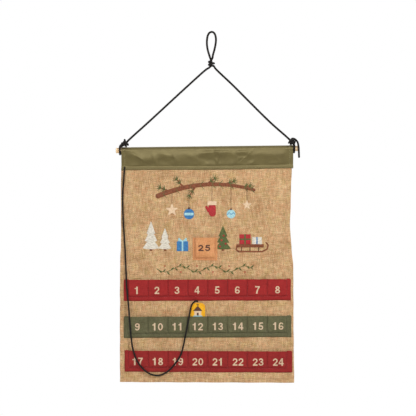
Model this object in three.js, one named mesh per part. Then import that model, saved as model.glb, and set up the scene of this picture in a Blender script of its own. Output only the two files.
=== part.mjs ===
// Advent calendar banner for a wall: a burlap panel with three rows of day pockets and one
// pocket for the last day, a satin rod sleeve on a wooden dowel, a knotted hanging cord, and
// a felt day marker that moves from pocket to pocket on a long cord.
// Millimetres, +Z up. The wall is on the +Y side, and the nail bears on the cord at the origin.
import * as THREE from 'three';

// Wooden dowel, a little lower at its left end
const ROD_DIAMETER = 12.7;
const ROD_LENGTH = 432;
const ROD_CHAMFER = 0.8;
const ROD_CENTRE_X = -11.9;
const ROD_CENTRE_Z = -276.4;
const ROD_SLOPE_SHARE = 0.0116;
const ROD_SIDES = 28;

// Hanging cord, one length from tail to tail
const CORD_DIAMETER = 4.6;
const CORD_SIDES = 8;
const CORD_STEPS_PER_SPAN = 2;
const CORD_EASE = 0.5;
const HITCH_RING_EASE = 1.2;
const HITCH_END_INSET = 9.9;

// Banner panel of burlap, hemmed to the back at its sides and foot
const PANEL_CLOTH = 1.2;
const PANEL_CENTRE_X = -12;
const PANEL_WIDTH = 411;
const PANEL_TOP = -317;
const PANEL_HEIGHT = 510.4;
const PANEL_FOOT_SLOPE_SHARE = -0.004;
const PANEL_HEM = 10;
const HEM_FOLD = 0.4;
const HEM_TUCK = 1.5;
const PANEL_COLUMNS = 15;
const PANEL_ROWS = 15;

// Side edges of the panel: share of the height from the top, then left and right half widths
const PANEL_EDGE_SHARES = [
  [0, 0.987, 0.973],
  [0.108, 0.987, 0.964],
  [0.192, 0.988, 0.958],
  [0.275, 0.986, 0.95],
  [0.331, 0.988, 0.961],
  [0.387, 0.99, 0.971],
  [0.443, 0.997, 0.988],
  [0.526, 0.999, 0.991],
  [0.75, 1, 0.993],
  [1, 0.999, 1],
];

// Soft waves of the panel above the pockets: across and down as shares of the panel
const WAVE_DEPTH = 4;
const FLAT_SHARE = 0.01;
const WAVE_SHARES = [
  { across: 0.9, halfWidth: 0.26, down: 0.24, halfHeight: 0.19, depth: 1 },
  { across: 0.22, halfWidth: 0.15, down: 0.22, halfHeight: 0.17, depth: 0.7 },
];

// Rod sleeve of satin, folded over the dowel and sewn to both faces of the panel
const SLEEVE_CLOTH = 1;
const SLEEVE_EASE = 0.35;
const SLEEVE_CENTRE_X = -11.4;
const SLEEVE_LENGTH = 405.6;
const SLEEVE_DROP = 45.8;
const SLEEVE_SEAM = 9;
const SLEEVE_HEM = 9;
const SLEEVE_HEM_CLOTH = 0.6;
const SLEEVE_COLUMNS = 28;
const SLEEVE_ARC_STEPS = 8;
const SLEEVE_FALL_STEPS = 4;
const PUCKER_DEPTH = 1.8;
const PUCKER_PITCH = 74;
const PUCKER_SLANT_SHARE = 0.55;
const PUCKER_BACK_SHARE = 0.4;

// Pocket strips: one band of cloth each, sewn down at every divider and along its foot
const STRIP_CLOTH = 1.2;
const STRIP_HEIGHT = 49.4;
const STRIP_SEAM = 10;
const STRIP_MARGIN = 10.4;
const POCKETS_PER_STRIP = 8;
const POCKET_PITCH = 46.9;
const POCKETS_LEFT = -198.1;
const POCKET_DEPTH = 5.6;

// Where each strip's top edge lies down the panel, its slope, and its margins left and right
const STRIP_SHARES = [
  { name: 'pocket_strip_top', down: 0.5243, slope: 0.0043, left: 1.03, right: 0.84 },
  { name: 'pocket_strip_middle', down: 0.6953, slope: 0.006, left: 1.03, right: 0.97 },
  { name: 'pocket_strip_bottom', down: 0.856, slope: -0.0045, left: 0.83, right: 1.18 },
];
const STRIPS = STRIP_SHARES.map((strip) => ({ ...strip, top: PANEL_TOP - PANEL_HEIGHT * strip.down }));
const MIDDLE_STRIP = STRIPS[1];

// Bow of one pocket: share of its width, then share of its depth
const POCKET_BOW_SHARES = [
  [0, 0],
  [0.03, 0.5],
  [0.08, 0.88],
  [0.17, 0.99],
  [0.5, 1.04],
  [0.83, 0.99],
  [0.92, 0.88],
  [0.97, 0.5],
];

// Fall of one pocket: share of the height above its foot seam, then share of its depth
const POCKET_FALL_SHARES = [
  [0, 0],
  [0.04, 0.5],
  [0.11, 0.82],
  [0.24, 1],
  [0.62, 1.04],
  [1, 0.98],
];

// Marker's pocket, counted from the left in the middle strip, opens wider at its mouth
const MARKER_POCKET = 3;
const MARKER_POCKET_SPREAD = 2.6;

// Pocket of the last day, sewn down at its sides and foot
const LAST_CLOTH = 1.2;
const LAST_WIDTH = 57.4;
const LAST_HEIGHT = 52.8;
const LAST_CENTRE_X = -16.8;
const LAST_DOWN_SHARE = 0.3303;
const LAST_SEAM = 5;
const LAST_DEPTH = 5.6;

// Day marker: two felt tongues sewn together, leaning out of the pocket
const FELT = 1.5;
const FELT_GAP = 0.3;
const MARKER_WIDTH = 34;
const MARKER_HEIGHT = 67.6;
const MARKER_FOOT_RADIUS = 9;
const MARKER_TOP_RADIUS = 10.5;
const MARKER_LEAN_DEGREES = 5;
const MARKER_BACK_EASE = 0.4;
const MARKER_FOOT_RISE = 4.7;
const MARKER_CURVE_STEPS = 6;

// Cord of the day marker, sewn on the sleeve's seam at its left end
const DROP_CORD_DIAMETER = 3.8;
const DROP_CORD_STEPS_PER_SPAN = 3;
const DROP_CORD_POINTS = [
  [-206.7, -4.7, -317.5],
  [-208.3, -4.9, -335],
  [-211.6, -3.6, -387.3],
  [-210.2, -3.3, -447.7],
  [-206.7, -3.3, -502.2],
  [-203.6, -5.2, -566],
  [-202.2, -7.2, -598.2],
  [-198.1, -7.8, -640.6],
  [-195.1, -10.4, -676.9],
  [-192.2, -9.8, -713.1],
  [-187.5, -9.9, -746.3],
  [-178.5, -10.7, -773.6],
  [-165, -9.4, -793.2],
  [-148.4, -6.2, -806.7],
  [-128.7, -5, -811.3],
  [-109, -6.8, -804.2],
  [-90.8, -10.3, -787.1],
  [-74.2, -10.8, -761.5],
  [-63.5, -9.9, -719.1],
  [-56.4, -11.2, -682.8],
  [-53, -12.2, -664.8],
  [-49.9, -12.9, -649.5],
  [-46.4, -12.8, -641.2],
  [-42, -12.1, -636.6],
  [-38.4, -10.6, -634.4],
  [-35.4, -9.1, -634.6],
  [-34, -8.7, -637.2],
];

// Hanging cord: the hitch's nub, the leg above it, and the free end, at each end of the dowel
const LEFT_NUB = [-207.1, -12.3, -265.1];
const LEFT_LEG_END = [-196.2, -8.9, -253.6];
const LEFT_TAIL = [
  [-205.7, -3.3, -257.5],
  [-207.3, -7.4, -252.2],
];
const RIGHT_NUB = [189.8, -11.3, -260.3];
const RIGHT_LEG_END = [178, -9.5, -248.6];
const RIGHT_TAIL = [
  [190, -4.7, -250.8],
  [195.6, -6.1, -252.2],
  [201.6, -8.6, -258.6],
  [204.3, -9.4, -270],
  [205, -9.6, -283],
  [205.6, -9.4, -296.6],
];

// Hanging cord between its legs: up through the core of the knot, round the loop, and back
const LOOP_POINTS = [
  [-151.6, -7, -213],
  [-52.4, -1.9, -121.1],
  [-13.8, 0, -86.6],
  [-7, -0.4, -82.4],
  [-2.9, -0.3, -78.2],
  [-1.6, -0.2, -73],
  [-1.6, 0.3, -67],
  [-3.6, 0.8, -61.9],
  [-7, 0.9, -51.8],
  [-10.3, 0.3, -40.5],
  [-12.1, 0, -28.7],
  [-12.1, 0, -17],
  [-9.7, 0, -5],
  [-5.6, 0, 0.6],
  [-0.4, 0, 2.3],
  [4.2, 0, 0.2],
  [7.6, 0, -5.6],
  [9.2, 0, -16],
  [7.9, -0.2, -28.7],
  [5.4, -1.6, -40.6],
  [2.2, -3, -51.9],
  [0.2, -5.2, -61.6],
];
const RIGHT_LEG_POINTS = [
  [7.8, -1.4, -84.6],
  [47.6, -1.8, -122.8],
  [137.4, -7.2, -212.4],
];

// Turns of the top knot round the cord's own core, from the loop down to the right leg
const KNOT_CENTRE = [-1.5, 0, -73];
const KNOT_RADIUS_ACROSS = 6.1;
const KNOT_RADIUS_DEEP = 5.5;
const KNOT_FALL = 10.6;
const KNOT_TURN_POINTS = 12;
const KNOT_DEGREES = [118, 690];

// Turns of a hitch, as shares of the cord and of the wrap round the dowel
const WRAP_DEGREES = [24, 225];
const WRAP_POINTS = 6;
const RING_DEGREES = [37, -611];
const RING_POINTS = 14;
const RING_TRAVEL_SHARE = 2.15;
const RING_RISE_SHARE = 0.45;
const LEG_DOWN_SHARE = 0.66;
const LEG_OUT_SHARE = 0.79;
const LEG_FRONT_SHARE = -0.114;
const EXIT_REACH_SHARE = 0.66;
const EXIT_FALL_SHARE = 0.926;
const SHOULDER_DEPTH_SHARE = 1.125;
const SHOULDER_RISE_SHARE = 0.81;
const OVER_DEPTH_SHARE = -0.05;
const OVER_RISE_SHARE = 1.13;

// Colours
const WOOD_COLOUR = 0xe8c69c;
const CORD_COLOUR = 0x26221f;
const SATIN_COLOUR = 0x776d4b;
const BURLAP_COLOUR = 0xc8a479;
const RED_COLOUR = 0x9d2f2e;
const GREEN_COLOUR = 0x615f46;
const ORANGE_COLOUR = 0xb36a35;
const FELT_COLOUR = 0xd9a63c;

const HALF = 0.5;
const FULL_TURN = 2 * Math.PI;
const RAD = Math.PI / 180;

function material(colour, roughness) {
  return new THREE.MeshStandardMaterial({ color: colour, roughness, metalness: 0 });
}

const ROUGH = 0.9;
const SATIN_ROUGH = 0.5;
const WOOD_ROUGH = 0.6;
const wood = material(WOOD_COLOUR, WOOD_ROUGH);
const cord = material(CORD_COLOUR, ROUGH);
const satin = material(SATIN_COLOUR, SATIN_ROUGH);
const burlap = material(BURLAP_COLOUR, ROUGH);
const redCloth = material(RED_COLOUR, ROUGH);
const greenCloth = material(GREEN_COLOUR, ROUGH);
const orangeCloth = material(ORANGE_COLOUR, ROUGH);
const goldFelt = material(FELT_COLOUR, ROUGH);

const banner = new THREE.Group();

function add(name, geometry, surface) {
  const mesh = new THREE.Mesh(geometry, surface);
  mesh.name = name;
  banner.add(mesh);
  return mesh;
}

// Signed volume of an indexed closed geometry, to turn its faces outward
function signedVolume(geometry) {
  const place = geometry.getAttribute('position');
  const index = geometry.getIndex();
  const a = new THREE.Vector3();
  const b = new THREE.Vector3();
  const c = new THREE.Vector3();
  let total = 0;
  for (let i = 0; i < index.count; i += 3) {
    a.fromBufferAttribute(place, index.getX(i));
    b.fromBufferAttribute(place, index.getX(i + 1));
    c.fromBufferAttribute(place, index.getX(i + 2));
    total += a.dot(b.cross(c));
  }
  return total;
}

// A sheet of cloth as a solid: two grids of points, one for each face, joined round the border
function sheetSolid(columns, rows, outerPoint, innerPoint) {
  const places = [];
  const faces = [];
  for (const pointAt of [outerPoint, innerPoint]) {
    for (let i = 0; i < columns; i += 1) {
      for (let j = 0; j < rows; j += 1) {
        places.push(...pointAt(i, j));
      }
    }
  }
  const layer = columns * rows;
  const at = (i, j, side) => side * layer + i * rows + j;
  const quad = (a, b, c, d) => faces.push(a, b, c, a, c, d);
  for (let i = 0; i < columns - 1; i += 1) {
    for (let j = 0; j < rows - 1; j += 1) {
      quad(at(i, j, 0), at(i + 1, j, 0), at(i + 1, j + 1, 0), at(i, j + 1, 0));
      quad(at(i, j, 1), at(i, j + 1, 1), at(i + 1, j + 1, 1), at(i + 1, j, 1));
    }
  }
  for (let i = 0; i < columns - 1; i += 1) {
    quad(at(i, 0, 1), at(i + 1, 0, 1), at(i + 1, 0, 0), at(i, 0, 0));
    quad(at(i, rows - 1, 0), at(i + 1, rows - 1, 0), at(i + 1, rows - 1, 1), at(i, rows - 1, 1));
  }
  for (let j = 0; j < rows - 1; j += 1) {
    quad(at(0, j, 0), at(0, j + 1, 0), at(0, j + 1, 1), at(0, j, 1));
    quad(at(columns - 1, j, 1), at(columns - 1, j + 1, 1), at(columns - 1, j + 1, 0), at(columns - 1, j, 0));
  }
  const geometry = new THREE.BufferGeometry();
  geometry.setAttribute('position', new THREE.Float32BufferAttribute(places, 3));
  geometry.setIndex(faces);
  if (signedVolume(geometry) < 0) {
    faces.reverse();
    geometry.setIndex(faces);
  }
  geometry.computeVertexNormals();
  return geometry;
}

// Height of the dowel's axis at a place across
function rodHeight(x) {
  return ROD_CENTRE_Z + (x - ROD_CENTRE_X) * ROD_SLOPE_SHARE;
}

// Wooden dowel: a turned profile laid across
const rodRadius = ROD_DIAMETER * HALF;
const rodHalf = ROD_LENGTH * HALF;
const rodProfile = [
  new THREE.Vector2(0, -rodHalf),
  new THREE.Vector2(rodRadius - ROD_CHAMFER, -rodHalf),
  new THREE.Vector2(rodRadius, ROD_CHAMFER - rodHalf),
  new THREE.Vector2(rodRadius, rodHalf - ROD_CHAMFER),
  new THREE.Vector2(rodRadius - ROD_CHAMFER, rodHalf),
  new THREE.Vector2(0, rodHalf),
];
const rod = add('dowel_rod', new THREE.LatheGeometry(rodProfile, ROD_SIDES), wood);
rod.rotation.z = -Math.PI * HALF;
const rodTilt = new THREE.Group();
rodTilt.position.set(ROD_CENTRE_X, 0, ROD_CENTRE_Z);
rodTilt.rotation.y = -Math.atan(ROD_SLOPE_SHARE);
rodTilt.add(rod);
banner.add(rodTilt);

// A cord's curve with even steps in each span, so that they bunch where its points do
class SpanCurve extends THREE.CatmullRomCurve3 {
  getPointAt(u, target) {
    return this.getPoint(u, target);
  }

  getTangentAt(u, target) {
    return this.getTangent(u, target);
  }

  getSpacedPoints(count) {
    return this.getPoints(count);
  }
}

function cordSolid(points, diameter, stepsPerSpan) {
  const curve = new SpanCurve(points, false, 'centripetal');
  const round = new THREE.Shape();
  round.absarc(0, 0, diameter * HALF, 0, FULL_TURN);
  return new THREE.ExtrudeGeometry(round, {
    steps: (points.length - 1) * stepsPerSpan,
    curveSegments: CORD_SIDES * HALF,
    bevelEnabled: false,
    extrudePath: curve,
  });
}

const vector = (list) => new THREE.Vector3(...list);

// Points on a turn of cord: angles in degrees from one side direction towards another
function turn(centre, along, side, deep, radiusSide, radiusDeep, degrees, travel, count) {
  const points = [];
  for (let i = 0; i < count; i += 1) {
    const share = i / (count - 1);
    const angle = RAD * (degrees[0] + (degrees[1] - degrees[0]) * share);
    points.push(
      centre.clone()
        .addScaledVector(side, radiusSide * Math.cos(angle))
        .addScaledVector(deep, radiusDeep * Math.sin(angle))
        .addScaledVector(along, travel * (share - HALF)),
    );
  }
  return points;
}

// Hitch at one end of the dowel, from the leg to the tail: through the nub, out past the end
// of the sleeve, which swings clear below it, down round the dowel from front to back, over
// the top and twice round the leg itself
function hitch(side, nub, legEnd, tail) {
  const centre = vector(nub);
  const rodX = ROD_CENTRE_X + side * (rodHalf - HITCH_END_INSET);
  const rodZ = rodHeight(rodX);
  const wrapRadius = rodRadius + CORD_EASE + CORD_DIAMETER * HALF;
  const ringRadius = CORD_DIAMETER + HITCH_RING_EASE;
  const ringTravel = -CORD_DIAMETER * RING_TRAVEL_SHARE;
  const down = new THREE.Vector3(side * LEG_OUT_SHARE, LEG_FRONT_SHARE, -LEG_DOWN_SHARE).normalize();
  const out = new THREE.Vector3(side * LEG_DOWN_SHARE, 0, LEG_OUT_SHARE);
  out.addScaledVector(down, -out.dot(down)).normalize();
  const back = new THREE.Vector3().crossVectors(out, down).multiplyScalar(side);
  const ringCentre = centre.clone().addScaledVector(down, -CORD_DIAMETER * RING_RISE_SHARE);
  const front = new THREE.Vector3(0, -1, 0);
  const below = new THREE.Vector3(0, 0, -1);
  const across = new THREE.Vector3(side, 0, 0);
  const rodCentre = new THREE.Vector3(rodX, 0, rodZ);
  const exit = centre.clone();
  exit.x += (rodX - centre.x) * EXIT_REACH_SHARE;
  exit.z -= CORD_DIAMETER * EXIT_FALL_SHARE;
  return [
    vector(legEnd),
    centre,
    exit,
    new THREE.Vector3(rodX, -wrapRadius * SHOULDER_DEPTH_SHARE, rodZ + wrapRadius * SHOULDER_RISE_SHARE),
    ...turn(rodCentre, across, front, below, wrapRadius, wrapRadius, WRAP_DEGREES, 0, WRAP_POINTS),
    new THREE.Vector3(rodX, wrapRadius * OVER_DEPTH_SHARE, rodZ + wrapRadius * OVER_RISE_SHARE),
    ...turn(ringCentre, down, out, back, ringRadius, ringRadius, RING_DEGREES, ringTravel, RING_POINTS),
    ...tail.map(vector),
  ];
}

// Hanging cord: left tail, left hitch, left leg, knot and loop, right leg, right hitch, tail
const knotCentre = vector(KNOT_CENTRE);
const knotTurns = turn(
  knotCentre,
  new THREE.Vector3(0, 0, -1),
  new THREE.Vector3(1, 0, 0),
  new THREE.Vector3(0, -1, 0),
  KNOT_RADIUS_ACROSS,
  KNOT_RADIUS_DEEP,
  KNOT_DEGREES,
  KNOT_FALL,
  KNOT_TURN_POINTS,
);
const hangerPoints = [
  ...hitch(-1, LEFT_NUB, LEFT_LEG_END, LEFT_TAIL).reverse(),
  ...LOOP_POINTS.map(vector),
  ...knotTurns,
  ...RIGHT_LEG_POINTS.map(vector),
  ...hitch(1, RIGHT_NUB, RIGHT_LEG_END, RIGHT_TAIL),
];
add('hanger_cord', cordSolid(hangerPoints, CORD_DIAMETER, CORD_STEPS_PER_SPAN), cord);

// Least gap of the cord to itself, measured on points further apart along it than its bend
const GAP_SAMPLES_PER_SPAN = 6;
const NEAR_TURNS = 3;
function leastGap(points, diameter) {
  const curve = new SpanCurve(points, false, 'centripetal');
  const samples = curve.getPoints((points.length - 1) * GAP_SAMPLES_PER_SPAN);
  const reach = [0];
  for (let i = 1; i < samples.length; i += 1) {
    reach.push(reach[i - 1] + samples[i].distanceTo(samples[i - 1]));
  }
  let least = Infinity;
  for (let i = 0; i < samples.length; i += 1) {
    for (let k = i + 1; k < samples.length; k += 1) {
      if (reach[k] - reach[i] > NEAR_TURNS * diameter) {
        least = Math.min(least, samples[i].distanceTo(samples[k]) - diameter);
      }
    }
  }
  return { least, length: reach[reach.length - 1] };
}
const hangerGap = leastGap(hangerPoints, CORD_DIAMETER);
console.log(
  `hanging cord: ${hangerGap.length.toFixed(0)} mm long, least gap to itself ${hangerGap.least.toFixed(2)} mm`,
);

// Soft wave of the panel's cloth, forward from the wall, flat at its edges and by the pockets
function wave(x, z) {
  let depth = 0;
  for (const lobe of WAVE_SHARES) {
    const across = (x - PANEL_CENTRE_X) / PANEL_WIDTH + HALF;
    const down = (PANEL_TOP - z) / PANEL_HEIGHT;
    const u = Math.min(1, Math.abs(across - lobe.across) / lobe.halfWidth);
    const v = Math.min(1, Math.abs(down - lobe.down) / lobe.halfHeight);
    depth += WAVE_DEPTH * lobe.depth * (Math.cos(Math.PI * HALF * u) * Math.cos(Math.PI * HALF * v)) ** 2;
  }
  return depth < WAVE_DEPTH * FLAT_SHARE ? 0 : depth;
}

// Half width of the panel on one side, at a share of its height from the top
function edgeShare(down, column) {
  const table = PANEL_EDGE_SHARES;
  for (let i = 1; i < table.length; i += 1) {
    if (down <= table[i][0]) {
      const span = (down - table[i - 1][0]) / (table[i][0] - table[i - 1][0]);
      return table[i - 1][column] + (table[i][column] - table[i - 1][column]) * span;
    }
  }
  return table[table.length - 1][column];
}

// Banner panel: plain cloth with a second layer folded to the back along sides and foot
const panelFront = -PANEL_CLOTH * HALF;
const panelBack = PANEL_CLOTH * HALF;
const hemTop = PANEL_TOP - SLEEVE_SEAM - HEM_TUCK * HALF;
const panelColumns = [0, PANEL_HEM, PANEL_HEM + HEM_FOLD];
for (let i = 1; i < PANEL_COLUMNS; i += 1) {
  const inner = PANEL_WIDTH - PANEL_HEM - PANEL_HEM;
  panelColumns.push(PANEL_HEM + inner * (i / PANEL_COLUMNS));
}
panelColumns.push(PANEL_WIDTH - PANEL_HEM - HEM_FOLD, PANEL_WIDTH - PANEL_HEM, PANEL_WIDTH);
const panelRows = [0, PANEL_TOP - hemTop, PANEL_TOP - hemTop + HEM_FOLD];
for (let j = 1; j < PANEL_ROWS; j += 1) {
  const inner = PANEL_HEIGHT - PANEL_HEM - (PANEL_TOP - hemTop);
  panelRows.push(PANEL_TOP - hemTop + inner * (j / PANEL_ROWS));
}
panelRows.push(PANEL_HEIGHT - PANEL_HEM - HEM_FOLD, PANEL_HEIGHT - PANEL_HEM, PANEL_HEIGHT);
const firstHemRow = 1;
const footHemRow = panelRows.length - 2;
const lastColumn = panelColumns.length - 1;

function panelPlace(i, j) {
  const down = panelRows[j] / PANEL_HEIGHT;
  const left = -PANEL_WIDTH * HALF * edgeShare(down, 1);
  const right = PANEL_WIDTH * HALF * edgeShare(down, 2);
  const across = panelColumns[i] / PANEL_WIDTH;
  const hemmed = i <= 1 ? left + panelColumns[i] : right - (PANEL_WIDTH - panelColumns[i]);
  const x = PANEL_CENTRE_X + (i <= 1 || i >= lastColumn - 1 ? hemmed : left + (right - left) * across);
  const z = PANEL_TOP - panelRows[j] + down * PANEL_FOOT_SLOPE_SHARE * (x - PANEL_CENTRE_X);
  return [x, z];
}

function hemmedAt(i, j) {
  const below = j > firstHemRow;
  return (below && (i <= 1 || i >= lastColumn - 1)) || j >= footHemRow;
}

add(
  'banner_panel',
  sheetSolid(
    panelColumns.length,
    panelRows.length,
    (i, j) => {
      const [x, z] = panelPlace(i, j);
      return [x, panelFront - wave(x, z), z];
    },
    (i, j) => {
      const [x, z] = panelPlace(i, j);
      return [x, panelBack - wave(x, z) + (hemmedAt(i, j) ? PANEL_CLOTH : 0), z];
    },
  ),
  burlap,
);

// Rod sleeve: its section runs from the front seam up round the dowel and down to the back
const sleeveBore = rodRadius + SLEEVE_EASE;
const fallHeight = SLEEVE_DROP - SLEEVE_SEAM;
const tangent = Math.asin((sleeveBore - panelBack) / fallHeight);
const sleeveSection = [];
function sectionPoint(y, z, ny, nz, pucker) {
  sleeveSection.push({ y, z, ny, nz, pucker });
}
sectionPoint(-panelBack, -SLEEVE_DROP, -1, 0, 0);
sectionPoint(-panelBack, -fallHeight, -1, 0, 0);
const touchY = -sleeveBore * Math.cos(tangent);
const touchZ = -sleeveBore * Math.sin(tangent);
for (let k = 1; k < SLEEVE_FALL_STEPS; k += 1) {
  const share = k / SLEEVE_FALL_STEPS;
  const rise = -fallHeight + (touchZ + fallHeight) * share;
  const reach = -panelBack + (touchY + panelBack) * share;
  sectionPoint(reach, rise, -Math.cos(tangent), -Math.sin(tangent), Math.sin(Math.PI * share));
}
for (let k = 0; k <= SLEEVE_ARC_STEPS; k += 1) {
  const angle = -tangent + (Math.PI + tangent + tangent) * (k / SLEEVE_ARC_STEPS);
  const ny = -Math.cos(angle);
  const nz = Math.sin(angle);
  sectionPoint(sleeveBore * ny, sleeveBore * nz, ny, nz, 0);
}
for (let k = SLEEVE_FALL_STEPS - 1; k >= 0; k -= 1) {
  const twin = sleeveSection[k + 1];
  sectionPoint(-twin.y, twin.z, -twin.ny, twin.nz, twin.pucker * PUCKER_BACK_SHARE);
}
sectionPoint(panelBack, -SLEEVE_DROP, 1, 0, 0);

const sleeveEnd = SLEEVE_LENGTH * HALF;
const sleeveColumns = [-sleeveEnd, SLEEVE_HEM - sleeveEnd, SLEEVE_HEM + HEM_FOLD - sleeveEnd];
const sleeveInner = SLEEVE_LENGTH - SLEEVE_HEM - SLEEVE_HEM;
for (let i = 1; i < SLEEVE_COLUMNS; i += 1) {
  sleeveColumns.push(SLEEVE_HEM - sleeveEnd + sleeveInner * (i / SLEEVE_COLUMNS));
}
sleeveColumns.push(sleeveEnd - SLEEVE_HEM - HEM_FOLD, sleeveEnd - SLEEVE_HEM, sleeveEnd);
const lastSleeveColumn = sleeveColumns.length - 1;

function sleevePoint(i, k, thickness) {
  const spot = sleeveSection[k];
  const along = sleeveColumns[i];
  const x = SLEEVE_CENTRE_X + along;
  const phase = along / PUCKER_PITCH + PUCKER_SLANT_SHARE * (spot.z / SLEEVE_DROP);
  const flat = Math.min(1, (sleeveEnd - Math.abs(along)) / PUCKER_PITCH);
  const rise = PUCKER_DEPTH * spot.pucker * flat * (HALF + HALF * Math.sin(FULL_TURN * phase));
  const reach = rise + thickness;
  return [x, spot.y + spot.ny * reach, rodHeight(x) + spot.z + spot.nz * reach];
}

add(
  'rod_sleeve',
  sheetSolid(
    sleeveColumns.length,
    sleeveSection.length,
    (i, k) => {
      const hem = i <= 1 || i >= lastSleeveColumn - 1 ? SLEEVE_HEM_CLOTH : 0;
      return sleevePoint(i, k, SLEEVE_CLOTH + hem);
    },
    (i, k) => sleevePoint(i, k, 0),
  ),
  satin,
);

// Share read off a table of pairs, straight between its rows
function readShare(table, key) {
  for (let i = 1; i < table.length; i += 1) {
    if (key <= table[i][0]) {
      const span = (key - table[i - 1][0]) / (table[i][0] - table[i - 1][0]);
      return table[i - 1][1] + (table[i][1] - table[i - 1][1]) * span;
    }
  }
  return table[table.length - 1][1];
}

// Pocket strips: margin, eight bowed pockets between flat divider seams, margin
const pocketsWidth = POCKET_PITCH * POCKETS_PER_STRIP;
for (const strip of STRIPS) {
  const columns = [{ x: POCKETS_LEFT - STRIP_MARGIN * strip.left, pocket: -1, bow: 0 }];
  for (let p = 0; p < POCKETS_PER_STRIP; p += 1) {
    for (const [share, bow] of POCKET_BOW_SHARES) {
      columns.push({ x: POCKETS_LEFT + POCKET_PITCH * (p + share), pocket: p, bow });
    }
  }
  columns.push({ x: POCKETS_LEFT + pocketsWidth, pocket: -1, bow: 0 });
  columns.push({ x: POCKETS_LEFT + pocketsWidth + STRIP_MARGIN * strip.right, pocket: -1, bow: 0 });
  const bodyHeight = STRIP_HEIGHT - STRIP_SEAM;
  const rows = [{ rise: 0, up: 0, fall: 0 }];
  for (const [up, fall] of POCKET_FALL_SHARES) {
    rows.push({ rise: STRIP_SEAM + bodyHeight * up, up, fall });
  }
  const middle = strip === MIDDLE_STRIP;
  const place = (i, j, thickness) => {
    const column = columns[i];
    const row = rows[j];
    const spread = middle && column.pocket === MARKER_POCKET ? MARKER_POCKET_SPREAD * row.up : 0;
    const bow = column.bow * (POCKET_DEPTH * row.fall + spread);
    const foot = strip.top - STRIP_HEIGHT + strip.slope * (column.x - PANEL_CENTRE_X);
    return [column.x, panelFront - bow - thickness, foot + row.rise];
  };
  add(
    strip.name,
    sheetSolid(
      columns.length,
      rows.length,
      (i, j) => place(i, j, STRIP_CLOTH),
      (i, j) => place(i, j, 0),
    ),
    middle ? greenCloth : redCloth,
  );
}

// Pocket of the last day: one bowed pocket with a flat seam at its sides and foot
const lastTop = PANEL_TOP - PANEL_HEIGHT * LAST_DOWN_SHARE;
const lastInner = LAST_WIDTH - LAST_SEAM - LAST_SEAM;
const lastColumns = [{ x: -LAST_WIDTH * HALF, bow: 0 }];
for (const [share, bow] of POCKET_BOW_SHARES) {
  lastColumns.push({ x: lastInner * (share - HALF), bow });
}
lastColumns.push({ x: lastInner * HALF, bow: 0 }, { x: LAST_WIDTH * HALF, bow: 0 });
const lastRows = [{ rise: 0, fall: 0 }];
for (const [up, fall] of POCKET_FALL_SHARES) {
  lastRows.push({ rise: LAST_SEAM + (LAST_HEIGHT - LAST_SEAM) * up, fall });
}
function lastPlace(i, j, thickness) {
  const bow = lastColumns[i].bow * LAST_DEPTH * lastRows[j].fall;
  const z = lastTop - LAST_HEIGHT + lastRows[j].rise;
  return [LAST_CENTRE_X + lastColumns[i].x, panelFront - bow - thickness, z];
}
add(
  'last_day_pocket',
  sheetSolid(
    lastColumns.length,
    lastRows.length,
    (i, j) => lastPlace(i, j, LAST_CLOTH),
    (i, j) => lastPlace(i, j, 0),
  ),
  orangeCloth,
);

// Day marker: tongue of felt with rounded shoulders, standing in its pocket
const markerHalf = MARKER_WIDTH * HALF;
const tongue = new THREE.Shape();
const footRadius = MARKER_FOOT_RADIUS;
const footCentre = markerHalf - footRadius;
const topCentre = markerHalf - MARKER_TOP_RADIUS;
const topCentreZ = MARKER_HEIGHT - MARKER_TOP_RADIUS;
tongue.moveTo(-footCentre, 0);
tongue.lineTo(footCentre, 0);
tongue.absarc(footCentre, footRadius, footRadius, -Math.PI * HALF, 0, false);
tongue.lineTo(markerHalf, topCentreZ);
tongue.absarc(topCentre, topCentreZ, MARKER_TOP_RADIUS, 0, Math.PI * HALF, false);
tongue.lineTo(-topCentre, MARKER_HEIGHT);
tongue.absarc(-topCentre, topCentreZ, MARKER_TOP_RADIUS, Math.PI * HALF, Math.PI, false);
tongue.lineTo(-markerHalf, footRadius);
tongue.absarc(-footCentre, footRadius, footRadius, Math.PI, Math.PI + Math.PI * HALF, false);
const markerX = POCKETS_LEFT + POCKET_PITCH * (MARKER_POCKET + HALF);
const markerFoot = MIDDLE_STRIP.top - STRIP_HEIGHT + STRIP_SEAM + MARKER_FOOT_RISE;
const marker = new THREE.Group();
marker.position.set(markerX, panelFront - MARKER_BACK_EASE, markerFoot);
marker.rotation.x = RAD * MARKER_LEAN_DEGREES;
banner.add(marker);
const feltLayers = [
  { name: 'marker_back_felt', depth: 0 },
  { name: 'marker_front_felt', depth: FELT + FELT_GAP },
];
for (const layer of feltLayers) {
  const felt = new THREE.ExtrudeGeometry(tongue, {
    depth: FELT,
    bevelEnabled: false,
    curveSegments: MARKER_CURVE_STEPS,
  });
  felt.rotateX(Math.PI * HALF);
  const mesh = add(layer.name, felt, goldFelt);
  mesh.position.y = -layer.depth;
  marker.add(mesh);
}

// Cord from the sleeve's seam to the top of the marker
add(
  'marker_cord',
  cordSolid(DROP_CORD_POINTS.map(vector), DROP_CORD_DIAMETER, DROP_CORD_STEPS_PER_SPAN),
  cord,
);

export default banner;
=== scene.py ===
"""Looks of a wall-hung advent calendar banner: burlap panel, satin rod sleeve on a wooden
dowel, knotted hanging cord, three rows of numbered pockets, one pocket for the last day and a
felt day marker on its own cord. Lengths in this script are millimetres, turned to metres as
each mesh is made. The front faces -Y and the wall is on the +Y side."""

import math

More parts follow.
